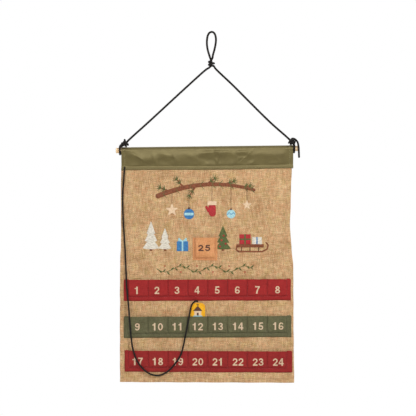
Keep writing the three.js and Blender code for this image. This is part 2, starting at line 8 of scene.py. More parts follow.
import bpy
import numpy as np
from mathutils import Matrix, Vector


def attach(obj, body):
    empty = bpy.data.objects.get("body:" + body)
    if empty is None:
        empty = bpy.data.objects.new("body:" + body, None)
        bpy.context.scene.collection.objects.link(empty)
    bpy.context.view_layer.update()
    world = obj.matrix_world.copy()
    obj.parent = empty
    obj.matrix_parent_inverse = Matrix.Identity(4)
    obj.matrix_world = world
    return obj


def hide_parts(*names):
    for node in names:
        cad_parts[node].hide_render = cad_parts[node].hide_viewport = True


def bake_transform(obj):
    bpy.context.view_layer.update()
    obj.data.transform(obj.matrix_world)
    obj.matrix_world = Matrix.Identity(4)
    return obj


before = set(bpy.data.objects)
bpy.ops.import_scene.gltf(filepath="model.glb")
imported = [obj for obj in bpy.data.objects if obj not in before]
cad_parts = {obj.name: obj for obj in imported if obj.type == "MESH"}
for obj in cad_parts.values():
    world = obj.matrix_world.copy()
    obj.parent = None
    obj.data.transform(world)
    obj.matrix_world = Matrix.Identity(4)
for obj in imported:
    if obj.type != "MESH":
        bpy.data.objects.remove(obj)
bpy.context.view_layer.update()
SCENE = bpy.context.scene
MM = 0.001
TAU = 2 * math.pi
RNG = np.random.default_rng(24)

# ---------------------------------------------------------------- camera, first of all
GRID = 2.37  # millimetres in one step of the front grid that places are written in
GRID_X, GRID_Z = 212.1, 32.9  # the nail's place on that grid
SENSOR = 36  # the lens is worked out from this, in millimetres, and from the two metres below
CAMERA_AWAY = 3.4
FRAME_WIDTH = 0.9859


def gx(column):
    return (column - GRID_X) * GRID


def gz(row):
    return -(row - GRID_Z) * GRID


def at(column, row):
    return np.array([gx(column), gz(row)])


camera_data = bpy.data.cameras.new("camera")
camera_data.sensor_width = SENSOR
camera_data.lens = SENSOR * CAMERA_AWAY / FRAME_WIDTH
camera = bpy.data.objects.new("camera", camera_data)
camera.location = (-0.0097, -CAMERA_AWAY, -0.415)
camera.rotation_euler = (math.pi / 2, 0, 0)
SCENE.collection.objects.link(camera)
SCENE.camera = camera
SCENE.view_settings.view_transform = "Standard"


# ---------------------------------------------------------------- shader nodes
def linear(colour):
    """Linear colour of a hex sRGB string."""
    parts = [int(colour[i : i + 2], 16) / 255 for i in (0, 2, 4)]
    return [c / 12.92 if c <= 0.04045 else ((c + 0.055) / 1.055) ** 2.4 for c in parts] + [1]


class Value:
    """A shader socket that arithmetic works on: each operation becomes a Math node."""

    def __init__(self, tree, socket):
        self.tree, self.socket = tree, socket

    def do(self, operation, *others):
        return self.tree.out(self.tree.add("Math", self, *others, operation=operation))

    def __add__(self, other):
        return self.do("ADD", other)

    def __sub__(self, other):
        return self.do("SUBTRACT", other)

    def __mul__(self, other):
        return self.do("MULTIPLY", other)

    def clamped(self):
        self.socket.node.use_clamp = True
        return self

    def swing(self, length):
        """Sine wave of a length."""
        return (self * (TAU / length)).do("SINE")

    def ridge(self):
        """Rounded ridge over each whole step."""
        return self.swing(2).do("ABSOLUTE")

    def centred(self, strength):
        """Noise about zero in place of about a half."""
        return (self - 0.5) * strength


class Tree:
    """A node tree with short calls: a number, a colour or a Value goes into each input."""

    def __init__(self, owner):
        owner.use_nodes = True
        self.nodes, self.links = owner.node_tree.nodes, owner.node_tree.links
        self.nodes.clear()

    def put(self, node, key, value):
        if isinstance(value, Value):
            self.links.new(value.socket, node.inputs[key])
        else:
            node.inputs[key].default_value = value

    def add(self, kind, *values, operation=None, **named):
        node = self.nodes.new("ShaderNode" + kind)
        if operation:
            node.operation = operation
        for key, value in (*enumerate(values), *named.items()):
            self.put(node, key, value)
        return node

    def out(self, node, key=0):
        return Value(self, node.outputs[key])

    def noise(self, vector, scale, detail=2.0, roughness=0.5):
        return self.out(
            self.add("TexNoise", Vector=vector, Scale=scale, Detail=detail, Roughness=roughness)
        )

    def combine(self, x, y, z=0.0):
        return self.out(self.add("CombineXYZ", x, y, z))

    def split(self, vector):
        node = self.add("SeparateXYZ", vector)
        return [self.out(node, k) for k in range(3)]

    def place(self, uv=False):
        """Object place in millimetres, or the cloth's own flat map."""
        source = self.add("UVMap" if uv else "TexCoord")
        if uv:
            source.uv_map = "Cloth"
        metres = self.out(source, "UV" if uv else "Object")
        return self.out(self.add("VectorMath", metres, operation="SCALE", Scale=1 / MM))

    def ramp(self, factor, stops):
        node = self.add("ValToRGB", factor)
        ramp = node.color_ramp
        while len(ramp.elements) < len(stops):
            ramp.elements.new(0.5)
        for element, (position, colour) in zip(ramp.elements, stops):
            element.position = position
            element.color = linear(colour)
        return self.out(node)

    def mix(self, factor, a, b, blend="MIX"):
        node = self.add("Mix")
        node.data_type = "RGBA"
        node.blend_type = blend
        for key, value in ((0, factor), (6, a), (7, b)):
            self.put(node, key, value)
        return self.out(node, 2)


class Material(Tree):
    def __init__(self, name, roughness, specular=0.4, sheen=0.0, sheen_roughness=0.5):
        self.material = bpy.data.materials.new(name)
        super().__init__(self.material)
        self.bsdf = self.add("BsdfPrincipled", Roughness=roughness)
        self.put(self.bsdf, "Specular IOR Level", specular)
        self.put(self.bsdf, "Sheen Weight", sheen)
        self.put(self.bsdf, "Sheen Roughness", sheen_roughness)
        self.add("OutputMaterial", self.out(self.bsdf))

    def surface(self, colour, height, strength, distance):
        """The finished material, with relief of a distance in millimetres."""
        self.put(self.bsdf, "Base Color", colour)
        bump = self.add("Bump", Height=height, Strength=strength, Distance=distance * MM)
        self.put(self.bsdf, "Normal", self.out(bump))
        return self.material


# ---------------------------------------------------------------- materials
# Whole threads and patches of cloth that are a little warmer or greener than the rest
WARM = [(0.3, "ffeede"), (0.5, "ffffff"), (0.7, "f1fff6")]
WORN = [(0.36, "fff6f2"), (0.5, "ffffff"), (0.64, "fbfdf0")]


def woven(name, stops, pitch, slub, contrast, bump, blotch=30.0, tints=0.5):
    """Plain weave: each thread has its own shade, which drifts along it over a slub's length."""
    n = Material(name, roughness=0.9, specular=0.25)
    where = n.place()
    x, _, z = n.split(where)
    across, along = x * (1 / pitch), z * (1 / pitch)
    i, j = across.do("FLOOR"), along.do("FLOOR")
    warp_shade = n.noise(n.combine(i * 7.31, along * (pitch / slub)), 1.0, 1.0)
    weft_shade = n.noise(n.combine(across * (pitch / slub), j * 5.17, 9.0), 1.0, 1.0)
    weft_shade = weft_shade.centred(0.86) + 0.5
    warp_height = across.ridge().do("POWER", 0.6) * ((along + i).swing(2) * 0.5 + 0.5)
    weft_height = along.ridge().do("POWER", 0.6) * ((across + j).swing(2) * -0.5 + 0.5)
    height = warp_height.do("MAXIMUM", weft_height)
    shade = n.mix(warp_height.do("GREATER_THAN", weft_height), weft_shade, warp_shade)
    fibre = n.noise(n.combine(x * 2.2, z * 2.2, 3.0), 1.0, 3.0)
    wide = n.noise(where, 1 / blotch, 3.0)
    value = shade.centred(contrast) + 0.5
    value = value + wide.centred(contrast * 0.3) + fibre.centred(contrast * 0.4)
    # The weave's low parts are painted darker and its thread crowns lighter: painted shade and
    # highlight that follow the relief.
    colour = n.ramp((value + (height - 0.72) * 0.22).clamped(), stops)
    warm = n.noise(n.combine(i * 3.13, j * 2.71, 4.0), 1.0, 1.0)
    colour = n.mix(tints, colour, n.ramp(warm, WARM), "MULTIPLY")
    colour = n.mix(tints, colour, n.ramp(n.noise(where, 2.4 / blotch), WORN), "MULTIPLY")
    return n.surface(colour, height + fibre * 0.35, strength=0.8, distance=bump)


def satin_cloth(name, stops):
    """Satin: long fine streaks of thread tone with painted sheen in them, a slanting twill with
    painted highlight on its ridges, and cloudy wear, with a warm sheen.
    """
    n = Material(name, roughness=0.4, specular=0.8, sheen=0.25, sheen_roughness=0.4)
    n.put(n.bsdf, "Sheen Tint", linear("b8ac78"))
    n.put(n.bsdf, "Specular Tint", linear("ffedb4"))
    where = n.place(uv=True)
    x, y, _ = n.split(where)
    streak = n.noise(n.combine(x * 0.035, y * 2.6), 1.0, 3.0)
    twill = (x * 0.45 + y).swing(0.42)
    cloud = n.noise(where, 1 / 22.0, 3.0)
    # Painted sheen: the streaks and the raised twill lines lighten the colour, on top of the thread
    # tone.
    value = (streak.centred(0.55) + 0.5 + cloud.centred(0.5) + twill * 0.05).clamped()
    return n.surface(n.ramp(value, stops), twill * 0.25 + streak, strength=0.12, distance=0.1)


def thread(name, dark, light):
    """Sewing thread: a fine twist along it, and shade that drifts from stitch to stitch."""
    n = Material(name, roughness=0.55, specular=0.4, sheen=0.2)
    x, y, _ = n.split(n.place(uv=True))
    ply = (x + y * 0.8).swing(0.5)
    # The raised plies of the twist are painted lighter and the grooves between them darker: painted
    # highlight and shade on the relief.
    value = (ply * 0.16 + n.noise(n.place(), 1 / 4.0)).clamped()
    colour = n.ramp(value, [(0.25, dark), (0.75, light)])
    return n.surface(colour, ply, strength=0.5, distance=0.05)


def satin_stitch(name, dark, light):
    """Embroidery: threads laid side by side across the flat map, each with its own shade."""
    n = Material(name, roughness=0.5, specular=0.3, sheen=0.03)
    x, y, _ = n.split(n.place(uv=True))
    across = x * (1 / 0.55)
    lane = across.do("FLOOR")
    shade = n.noise(n.combine(lane * 3.7, y * 0.12), 1.0)
    needle = (y * (1 / 4.2) + lane * 0.37).do("FRACT").do("LESS_THAN", 0.06)
    ridge = across.ridge()
    bundle = n.noise(n.combine(x * 0.5, y * 0.16), 1.0)
    # The crowns of the laid threads are painted lighter, and the gaps between lanes and the needle
    # holes darker: painted highlight and shade on the relief.
    value = bundle.centred(1.3) + (ridge * 0.25 + shade * 0.85 - needle * 0.25)
    relief = ridge - needle * 0.6
    colour = n.ramp(value.clamped(), [(0.2, dark), (0.85, light)])
    return n.surface(colour, relief, strength=0.7, distance=0.2)


def felt_cloth(name, stops):
    """Pressed felt: short matted fibres running every way, with a soft nap."""
    n = Material(name, roughness=0.95, specular=0.15, sheen=0.35)
    where = n.place()
    fibre = n.noise(where, 2.4, 4.0, 0.65)
    value = (fibre.centred(1.1) + n.noise(where, 0.5, 3.0)).clamped()
    return n.surface(n.ramp(value, stops), fibre, strength=0.8, distance=0.3)


def pine(name):
    """Turned softwood: long grain streaks along the dowel, and rings on its cut ends."""
    n = Material(name, roughness=0.55, specular=0.35)
    x, y, z = n.split(n.place())
    grain = n.noise(n.combine(x * 0.018, y, z), 0.55, 5.0, 0.6)
    fine = n.noise(n.combine(x * 0.05, y * 6, z * 6), 0.6, 3.0)
    value = (fine.centred(0.4) + grain).clamped()
    colour = n.ramp(value, [(0.3, "dcb07c"), (0.5, "f2d0a2"), (0.72, "fbe2ba")])
    return n.surface(colour, fine, strength=0.4, distance=0.1)


def braided(name, dark, light):
    """Waxed cord: two sets of strands wound opposite ways, seen on the tube's own flat map."""
    n = Material(name, roughness=0.75, specular=0.2, sheen=0.05)
    x, y, _ = n.split(n.place(uv=True))
    plait = (x + y).swing(2.1).do("MAXIMUM", (x - y).swing(2.1))
    fuzz = n.noise(n.place(), 1.4, 4.0, 0.6)
    # The crowns of the plaited strands are painted lighter and the dips between them darker:
    # painted highlight and shade on the relief.
    colour = n.ramp((plait * 0.22 + fuzz).clamped(), [(0.3, dark), (0.9, light)])
    return n.surface(colour, fuzz * 0.5 + plait, strength=0.6, distance=0.25)


BURLAP = [(0.0, "816141"), (0.28, "a7845e"), (0.5, "c49e76"), (0.74, "dab991"), (1.0, "edd7b5")]
CANVAS_STOPS = (0.0, 0.3, 0.55, 0.8, 1.0)
RED = ("681618", "872022", "9d2828", "ae3433", "bb4841")
DEEP_RED = ("621518", "7f1f21", "942827", "a43331", "b0443f")
GREEN = ("3d3b2a", "515038", "636146", "737156", "868469")
ORANGE = ("a06439", "c08050", "d79868", "e6ab7e", "efc098")
CREAM = ("a2846a", "c2a589", "d8bfa3", "e7d0b5", "f2dfc8")
SATIN = [(0.1, "3c341e"), (0.4, "4d4428"), (0.6, "595030"), (0.9, "6e6440")]
GOLD = [(0.15, "c78512"), (0.45, "eba81c"), (0.75, "f8c02e")]


def canvas(name, colours, slub, contrast):
    stops = list(zip(CANVAS_STOPS, colours))
    return woven(name, stops, pitch=0.9, slub=slub, contrast=contrast, bump=0.22)


MATERIALS = {
    "burlap": woven(
        "burlap_weave", BURLAP, pitch=2.1, slub=17.0, contrast=1.33, bump=0.5, blotch=46.0,
        tints=1.0,
    ),
    "red": canvas("red_canvas", RED, slub=12.0, contrast=0.95),
    "deep_red": canvas("deep_red_canvas", DEEP_RED, slub=12.0, contrast=0.95),
    "green": canvas("green_canvas", GREEN, slub=9.0, contrast=1.1),
    "orange": canvas("orange_canvas", ORANGE, slub=9.0, contrast=1.0),
    "print": canvas("cream_print", CREAM, slub=9.0, contrast=0.8),
    "satin": satin_cloth("olive_satin", SATIN),
    "felt": felt_cloth("gold_felt", GOLD),
    "wood": pine("pine_dowel"),
    "cord": braided("waxed_cord", "090706", "211c18"),
    "thread_red": thread("thread_red", "842022", "a63435"),
    "thread_green": thread("thread_green", "4b4a33", "69684b"),
    "thread_olive": thread("thread_olive", "443d22", "a39a6a"),
    "thread_sand": thread("thread_sand", "9d7b52", "c7a67a"),
    "thread_brown": thread("thread_brown", "3e2417", "64402b"),
    "thread_gold": thread("thread_gold", "a8701c", "d79a34"),
    "brown": satin_stitch("stitched_brown", "4c2412", "935230"),
    "dark": satin_stitch("stitched_dark_brown", "3b2117", "5f3826"),
    "redwork": satin_stitch("stitched_red", "7e161b", "c02c30"),
    "greenwork": satin_stitch("stitched_green", "38421f", "5f6a35"),
    "blue": satin_stitch("stitched_blue", "1f5688", "3f83bb"),
    "pale": satin_stitch("stitched_pale_blue", "7fb3bf", "b3dbdf"),
    "white": satin_stitch("stitched_white", "b3a792", "efe9db"),
    "creamwork": satin_stitch("stitched_cream", "c9a582", "f0d6b4"),
}


# ---------------------------------------------------------------- mesh helpers
def make(name, points, faces, material, body, uv=None, slot=None):
    """A piece from points in millimetres, riding on a body; uv is the cloth's own flat map."""
    mesh = bpy.data.meshes.new(name)
    mesh.from_pydata((np.asarray(points, float) * MM).tolist(), [], faces)
    mesh.shade_smooth()
    if uv is not None:
        layer = mesh.uv_layers.new(name="Cloth")
        corners = np.empty(len(mesh.loops), np.int64)
        mesh.loops.foreach_get("vertex_index", corners)
        flat = np.asarray(uv, float)[corners] * MM
        layer.uv.foreach_set("vector", flat.astype(np.float32).ravel())
    mesh.materials.append(MATERIALS[material])
    piece = bpy.data.objects.new(name, mesh)
    SCENE.collection.objects.link(piece)
    if body:
        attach(piece, body)
    return piece


def spans(points, per_span):
    """Centripetal Catmull-Rom curve through points, with even steps in each span."""
    p = [np.array(q, float) for q in points]
    out = []
    for i in range(len(p) - 1):
        a, b = p[i], p[i + 1]
        before = p[i - 1] if i else 2 * p[0] - p[1]
        after = p[i + 2] if i + 2 < len(p) else 2 * p[-1] - p[-2]
        pairs = ((before, a), (a, b), (b, after))
        d0, d1, d2 = (max(np.linalg.norm(v - u), 1e-4) ** 0.5 for u, v in pairs)
        t1 = ((a - before) / d0 - (b - before) / (d0 + d1) + (b - a) / d1) * d1
        t2 = ((b - a) / d1 - (after - a) / (d1 + d2) + (after - b) / d2) * d1
        square, cube = 3 * b - 3 * a - 2 * t1 - t2, 2 * a - 2 * b + t1 + t2
        for t in np.arange(per_span) / per_span:
            out.append(a + t1 * t + square * t**2 + cube * t**3)
    out.append(p[-1])
    return np.array(out)


def reach_along(line):
    """How far along a line each of its points lies."""
    return np.concatenate([[0], np.cumsum(np.linalg.norm(np.diff(line, axis=0), axis=1))])


def evenly(line, step):
    """The same line with points a fixed step apart."""
    reach = reach_along(line)
    count = max(2, round(reach[-1] / step) + 1)
    marks = np.linspace(0, reach[-1], count)
    return np.stack([np.interp(marks, reach, line[:, k]) for k in range(3)], 1), marks


def ring_faces(rings, sides, base=0, mirrored=False):
    """Quads from ring to ring of a tube's points, and a cap on each end."""
    faces = []
    for start in range(base, base + (rings - 1) * sides, sides):
        for k in range(sides):
            a, b = start + k, start + (k + 1) % sides
            faces.append((a, a + sides, b + sides, b) if mirrored else (a, b, b + sides, a + sides))
    first = tuple(range(base, base + sides))
    last = tuple(k + (rings - 1) * sides for k in first)
    return faces + ([first, last[::-1]] if mirrored else [first[::-1], last])


def plaited(name, line, reach, diameter, sides, body, relief, lay):
    """Round cord along a line, with rounded ends and a shallow plait wound both ways."""
    tangent = np.gradient(line, axis=0)
    tangent /= np.linalg.norm(tangent, axis=1)[:, None]
    upright = abs(tangent[0][2]) >= 0.9
    normal = np.cross(tangent[0], [1.0, 0.0, 0.0] if upright else [0.0, 0.0, 1.0])
    radius = diameter / 2
    points, uv = [], []
    angles = np.arange(sides) * TAU / sides
    for place, ahead, far in zip(line, tangent, reach):
        normal = normal - ahead * (normal @ ahead)
        normal /= np.linalg.norm(normal)
        side = np.cross(ahead, normal)
        end = min(far, reach[-1] - far)
        cap = math.sqrt(max(0.0, 1 - (1 - min(1.0, end / (radius * 0.8))) ** 2))
        plait = np.cos(3 * angles + far * TAU / lay) * np.cos(3 * angles - far * TAU / lay)
        size = (radius + relief * (plait + 0.9)) * max(cap, 0.25)
        points.extend(
            place + np.outer(size * np.cos(angles), normal) + np.outer(size * np.sin(angles), side)
        )
        uv.extend(np.stack([angles * radius, np.full(sides, far)], 1))
    return make(name, points, ring_faces(len(line), sides), "cord", body, uv, "cord")


# ---------------------------------------------------------------- dowel and cord routes
ROD_RADIUS = 6.35
ROD_HALF = 216.0
ROD_CENTRE = (-11.9, 0.0, -276.4)
ROD_SLOPE = 0.0116
CORD = 4.6
WRAP = ROD_RADIUS + 0.5 + CORD / 2
RING = CORD + 1.2
KNOT = np.array([-1.5, 0.0, -73.0])
LEFT = dict(
    side=-1,
    nub=[-207.1, -12.3, -265.1],
    leg=[-196.2, -8.9, -253.6],
    tail=[[-205.7, -3.3, -257.5], [-207.3, -7.4, -252.2]],
)
RIGHT = dict(
    side=1,
    nub=[189.8, -11.3, -260.3],
    leg=[178, -9.5, -248.6],
    tail=[
        [190, -4.7, -250.8],
        [195.6, -6.1, -252.2],
        [201.6, -8.6, -258.6],
        [204.3, -9.4, -270],
        [205, -9.6, -283],
        [205.6, -9.4, -296.6],
    ],
)
LOOP = [
    (-151.6, -7, -213), (-52.4, -1.9, -121.1), (-13.8, 0, -86.6), (-7, -0.4, -82.4),
    (-2.9, -0.3, -78.2), (-1.6, -0.2, -73), (-1.6, 0.3, -67), (-3.6, 0.8, -61.9),
    (-7, 0.9, -51.8), (-10.3, 0.3, -40.5), (-12.1, 0, -28.7), (-12.1, 0, -17), (-9.7, 0, -5),
    (-5.6, 0, 0.6), (-0.4, 0, 2.3), (4.2, 0, 0.2), (7.6, 0, -5.6), (9.2, 0, -16),
    (7.9, -0.2, -28.7), (5.4, -1.6, -40.6), (2.2, -3, -51.9), (0.2, -5.2, -61.6),
]
RIGHT_LEG = [[7.8, -1.4, -84.6], [47.6, -1.8, -122.8], [137.4, -7.2, -212.4]]
DROP_CORD = 3.8
DROP = [
    (-206.7, -4.7, -317.5), (-208.3, -4.9, -335), (-211.6, -3.6, -387.3),
    (-210.2, -3.3, -447.7), (-206.7, -3.3, -502.2), (-203.6, -5.2, -566),
    (-202.2, -7.2, -598.2), (-198.1, -7.8, -640.6), (-195.1, -10.4, -676.9),
    (-192.2, -9.8, -713.1), (-187.5, -9.9, -746.3), (-178.5, -10.7, -773.6),
    (-165, -9.4, -793.2), (-148.4, -6.2, -806.7), (-128.7, -5, -811.3), (-109, -6.8, -804.2),
    (-90.8, -10.3, -787.1), (-74.2, -10.8, -761.5), (-63.5, -9.9, -719.1),
    (-56.4, -11.2, -682.8), (-53, -12.2, -664.8), (-49.9, -12.9, -649.5),
    (-46.4, -12.8, -641.2), (-42, -12.1, -636.6), (-38.4, -10.6, -634.4), (-35.4, -9.1, -634.6),
    (-34, -8.7, -637.2),
]


def rod_height(x):
    return ROD_CENTRE[2] + (x - ROD_CENTRE[0]) * ROD_SLOPE


def turn(centre, along, side, deep, across, into, degrees, travel, count):
    """Points of a turn of cord: its half sizes to the side and to the deep, the degrees it starts
    and stops at, how far it travels along its axis, and how many points it has."""
    share = np.linspace(0, 1, count)[:, None]
    angle = np.radians(degrees[0] + (degrees[1] - degrees[0]) * share)
    centre, along, side, deep = (np.array(v, float) for v in (centre, along, side, deep))
    around = centre + across * np.cos(angle) * side + into * np.sin(angle) * deep
    return around + travel * (share - 0.5) * along


def hitch(side, nub, leg, tail):
    """Leg, nub, once round the dowel from front to back, over the top and twice round the leg."""
    centre = np.array(nub, float)
    rod_x = ROD_CENTRE[0] + side * (ROD_HALF - 9.9)
    rod_z = rod_height(rod_x)
    # Down the leg, and square to it
    down = np.array([side * 0.79, -0.114, -0.66])
    down /= np.linalg.norm(down)
    out = np.array([side * 0.66, 0, 0.79])
    out -= down * (out @ down)
    out /= np.linalg.norm(out)
    rings = centre - down * CORD * 0.45
    behind = side * np.cross(out, down)
    return [
        leg,
        nub,
        [nub[0] + (rod_x - nub[0]) * 0.66, nub[1], nub[2] - CORD * 0.926],
        [rod_x, -WRAP * 1.125, rod_z + WRAP * 0.81],
        *turn([rod_x, 0, rod_z], [side, 0, 0], [0, -1, 0], [0, 0, -1], WRAP, WRAP, (24, 225), 0, 6),
        [rod_x, -WRAP * 0.05, rod_z + WRAP * 1.13],
        *turn(rings, down, out, behind, RING, RING, (37, -611), -CORD * 2.15, 14),
        *tail,
    ]


hanger_route = [
    *reversed(hitch(**LEFT)),
    *LOOP,
    *turn(KNOT, (0, 0, -1), (1, 0, 0), (0, -1, 0), 6.1, 5.5, (118, 690), 10.6, 12),
    *RIGHT_LEG,
    *hitch(**RIGHT),
]
CORD_STEP = 0.7  # from ring to ring of a cord's points
hanger_line, hanger_reach = evenly(spans(hanger_route, 12), CORD_STEP)
hanger = plaited(
    "hanging_cord", hanger_line, hanger_reach, CORD, sides=16, body="hanger", relief=0.13, lay=8.4
)
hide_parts("hanger_cord")
(np.array(LEFT["tail"][-1]) * MM).tolist()
drop_line, drop_reach = evenly(spans(DROP, 16), CORD_STEP)
drop = plaited(
    "marker_drop_cord", drop_line, drop_reach, DROP_CORD, sides=14, body=None, relief=0.11, lay=7.4
)
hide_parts("marker_cord")
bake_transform(drop)
(np.array(DROP[0]) * MM).tolist()

# ---------------------------------------------------------------- dowel
DOWEL_SIDES = 48
# Radius and depth along the dowel of its rounded ends
END = [(0.02, 0.0), (4.2, 0.05), (5.7, 0.2), (6.1, 0.5), (6.3, 1.0), (ROD_RADIUS, 1.8)]
stations = [(r, -ROD_HALF + depth) for r, depth in END]
stations += [(ROD_RADIUS, x) for x in np.linspace(-ROD_HALF + 12, ROD_HALF - 12, 16)]
stations += [(r, ROD_HALF - depth) for r, depth in reversed(END)]
rod_points = [
    (ROD_CENTRE[0] + x, r * math.cos(a), rod_height(ROD_CENTRE[0] + x) + r * math.sin(a))
    for r, x in stations
    for a in np.arange(DOWEL_SIDES) * TAU / DOWEL_SIDES
]
rod_faces = ring_faces(len(stations), DOWEL_SIDES)
dowel = make("wooden_dowel", rod_points, rod_faces, "wood", "hanger", slot="wood")
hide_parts("dowel_rod")


# ---------------------------------------------------------------- cloth helpers
def smooth(t):
    t = np.clip(t, 0, 1)
    return t * t * (3 - 2 * t)


def sheet(*xyz):
    """Grid of places from its coordinates."""
    return np.stack(xyz, -1)


FOLD_ROUND = 0.9  # how full the rounded fold at a cloth's edge is


def cloth(name, front, back, material, body, slot, uv):
    """Closed sheet from two grids of points, front and back, with a rounded fold all round."""
    columns, rows, _ = front.shape
    rim = [(i, 0) for i in range(columns)] + [(columns - 1, j) for j in range(1, rows)]
    rim += [(i, rows - 1) for i in range(columns - 2, -1, -1)]
    rim += [(0, j) for j in range(rows - 2, 0, -1)]
    points = [*front.reshape(-1, 3), *back.reshape(-1, 3)]
    flat = [*uv.reshape(-1, 2), *uv.reshape(-1, 2)]
    layer = columns * rows
    faces = []
    for i in range(columns - 1):
        for a in range(i * rows, (i + 1) * rows - 1):
            corners = (a, a + rows, a + rows + 1, a + 1)
            faces.append(corners)
            faces.append(tuple(layer + corners[k] for k in (0, 3, 2, 1)))
    loops = [[i * rows + j for i, j in rim]]
    for turned in (0.5, 1.0, 1.5):
        angle = turned * math.pi / 2
        loops.append(range(len(points), len(points) + len(rim)))
        for i, j in rim:
            f, b = front[i, j], back[i, j]
            thick = b - f
            out = f - front[min(max(i, 1), columns - 2), min(max(j, 1), rows - 2)]
            out = out - thick * (out @ thick) / max(thick @ thick, 1e-9)
            out = out / max(np.linalg.norm(out), 1e-9) * np.linalg.norm(thick) / 2 * FOLD_ROUND
            points.append((f + b) / 2 - thick / 2 * math.cos(angle) + out * math.sin(angle))
            flat.append(uv[i, j])
    loops.append([layer + k for k in loops[0]])
    for a, b in zip(loops, loops[1:]):
        for k in range(len(rim)):
            n = (k + 1) % len(rim)
            faces.append((a[n], a[k], b[k], b[n]))
    return make(name, points, faces, material, body, flat, slot)


# One stitch from needle hole to needle hole: share of its length, lift, thickness
STITCH = (
    (0.0, -0.35, 0.5),
    (0.14, 0.55, 1.0),
    (0.5, 1.0, 1.0),
    (0.86, 0.55, 1.0),
    (1.0, -0.35, 0.5),
)
STITCH_SIDES = 6


def stitches(name, lines, place, material, body, length=3.0, gap=0.8, radius=0.28, proud=0.22):
    """Sewn stitches along lines of (across, up) points, each a short bowed length of thread."""
    points, faces, flat = [], [], []
    for line in lines:
        line = np.array(line, float)
        reach = reach_along(line)
        on_line = lambda far: np.array([np.interp(far, reach, line[:, c]) for c in (0, 1)])
        count = max(1, int((reach[-1] + gap) / (length + gap)))
        pitch = (reach[-1] + gap) / count
        for k in range(count):
            faces += ring_faces(len(STITCH), STITCH_SIDES, len(points), mirrored=True)
            for share, lift, thin in STITCH:
                far = k * pitch + (pitch - gap) * share
                x, z = on_line(far)
                ahead = on_line(far + 0.1) - on_line(far - 0.1)
                ahead /= max(np.linalg.norm(ahead), 1e-9)
                for s in range(STITCH_SIDES):
                    a = s * TAU / STITCH_SIDES
                    wide = radius * thin * math.cos(a)
                    high = proud * lift + radius * 0.8 * thin * math.sin(a)
                    points.append(place(x - ahead[1] * wide, z + ahead[0] * wide, high))
                    flat.append((far, a * radius))
    return make(name, points, faces, material, body, flat)


# Shapes are signed distances, negative inside, on arrays of (across, up) places
def segment(p, a, b, wide, narrow=None):
    """Line from a to b, from one half width to another."""
    a, b = np.array(a, float), np.array(b, float)
    d = b - a
    t = np.clip(((p - a) @ d) / max(d @ d, 1e-9), 0, 1)
    radius = wide + ((wide if narrow is None else narrow) - wide) * t
    return np.linalg.norm(p - a - t[..., None] * d, axis=-1) - radius


def polygon(p, corners):
    v = np.array(corners, float)
    best = np.full(p.shape[:-1], 1e9)
    inside = np.zeros(p.shape[:-1], bool)
    for a, b in zip(v, np.roll(v, -1, axis=0)):
        best = np.minimum(best, segment(p, a, b, 0))
        d = b - a
        crosses = (a[1] > p[..., 1]) != (b[1] > p[..., 1])
        x = a[0] + (p[..., 1] - a[1]) / (d[1] if abs(d[1]) > 1e-12 else 1e-12) * d[0]
        inside ^= crosses & (p[..., 0] < x)
    return np.where(inside, -best, best)


def arc_points(cx, cy, rx, ry, start, stop, count=24):
    return [
        (cx + rx * math.cos(math.radians(a)), cy + ry * math.sin(math.radians(a)))
        for a in np.linspace(start, stop, count)
    ]


def stroke(p, line, wide):
    return np.min([segment(p, a, b, wide) for a, b in zip(line, line[1:])], axis=0)


SINK = 0.12  # how far the rim of a printed or stitched shape goes into what it lies on


def patch(points, faces, flat, field, box, cell, place, lift, edge, degrees):
    """Adds the part of a shape's field that is inside, as a low dome with a sunken rim. The
    outline is read between grid points, so it stays smooth."""
    xs = np.arange(box[0], box[2] + cell, cell)
    zs = np.arange(box[1], box[3] + cell, cell)
    d = field(sheet(*np.meshgrid(xs, zs, indexing="ij")))
    d = np.where(np.abs(d) < 1e-6, 1e-6, d)
    inside = d < 0
    found = {}
    c, s = math.cos(math.radians(degrees)), math.sin(math.radians(degrees))

    def vertex(key, x, z, depth):
        if key not in found:
            found[key] = len(points)
            t = min(1.0, depth / edge)
            points.append(place(x, z, lift * math.sqrt(t * (2 - t)) if depth > 0 else -SINK))
            flat.append((x * c + z * s, z * c - x * s))
        return found[key]

    some = inside[:-1, :-1] | inside[1:, :-1] | inside[1:, 1:] | inside[:-1, 1:]
    for i, j in np.argwhere(some):
        corners = [(i, j), (i + 1, j), (i + 1, j + 1), (i, j + 1)]
        face = []
        for a, b in zip(corners, corners[1:] + corners[:1]):
            if d[a] < 0:
                face.append(vertex(a, xs[a[0]], zs[a[1]], -d[a]))
            if (d[a] < 0) != (d[b] < 0):
                t = d[a] / (d[a] - d[b])
                x = xs[a[0]] + (xs[b[0]] - xs[a[0]]) * t
                z = zs[a[1]] + (zs[b[1]] - zs[a[1]]) * t
                face.append(vertex((min(a, b), max(a, b)), x, z, 0.0))
        if len(set(face)) > 2:
            faces.append(tuple(face))


# ---------------------------------------------------------------- banner panel
PANEL_FRONT = -0.6
CLOTH = 1.2
PANEL_CENTRE = -12.0
PANEL_WIDTH = 411.0
PANEL_TOP = -317.0
PANEL_HEIGHT = 510.4
PANEL_HEM = 10.0
# Down the panel: share of its height, then half its width left and right of the middle, as shares
EDGES = np.array([
    (0, 0.987, 0.973), (0.108, 0.987, 0.964), (0.192, 0.988, 0.958), (0.275, 0.986, 0.95),
    (0.331, 0.988, 0.961), (0.387, 0.99, 0.971), (0.443, 0.997, 0.988), (0.526, 0.999, 0.991),
    (0.75, 1, 0.993), (1, 0.999, 1),
])
WAVES = [(0.9, 0.26, 0.24, 0.19, 4.0), (0.22, 0.15, 0.22, 0.17, 2.8)]


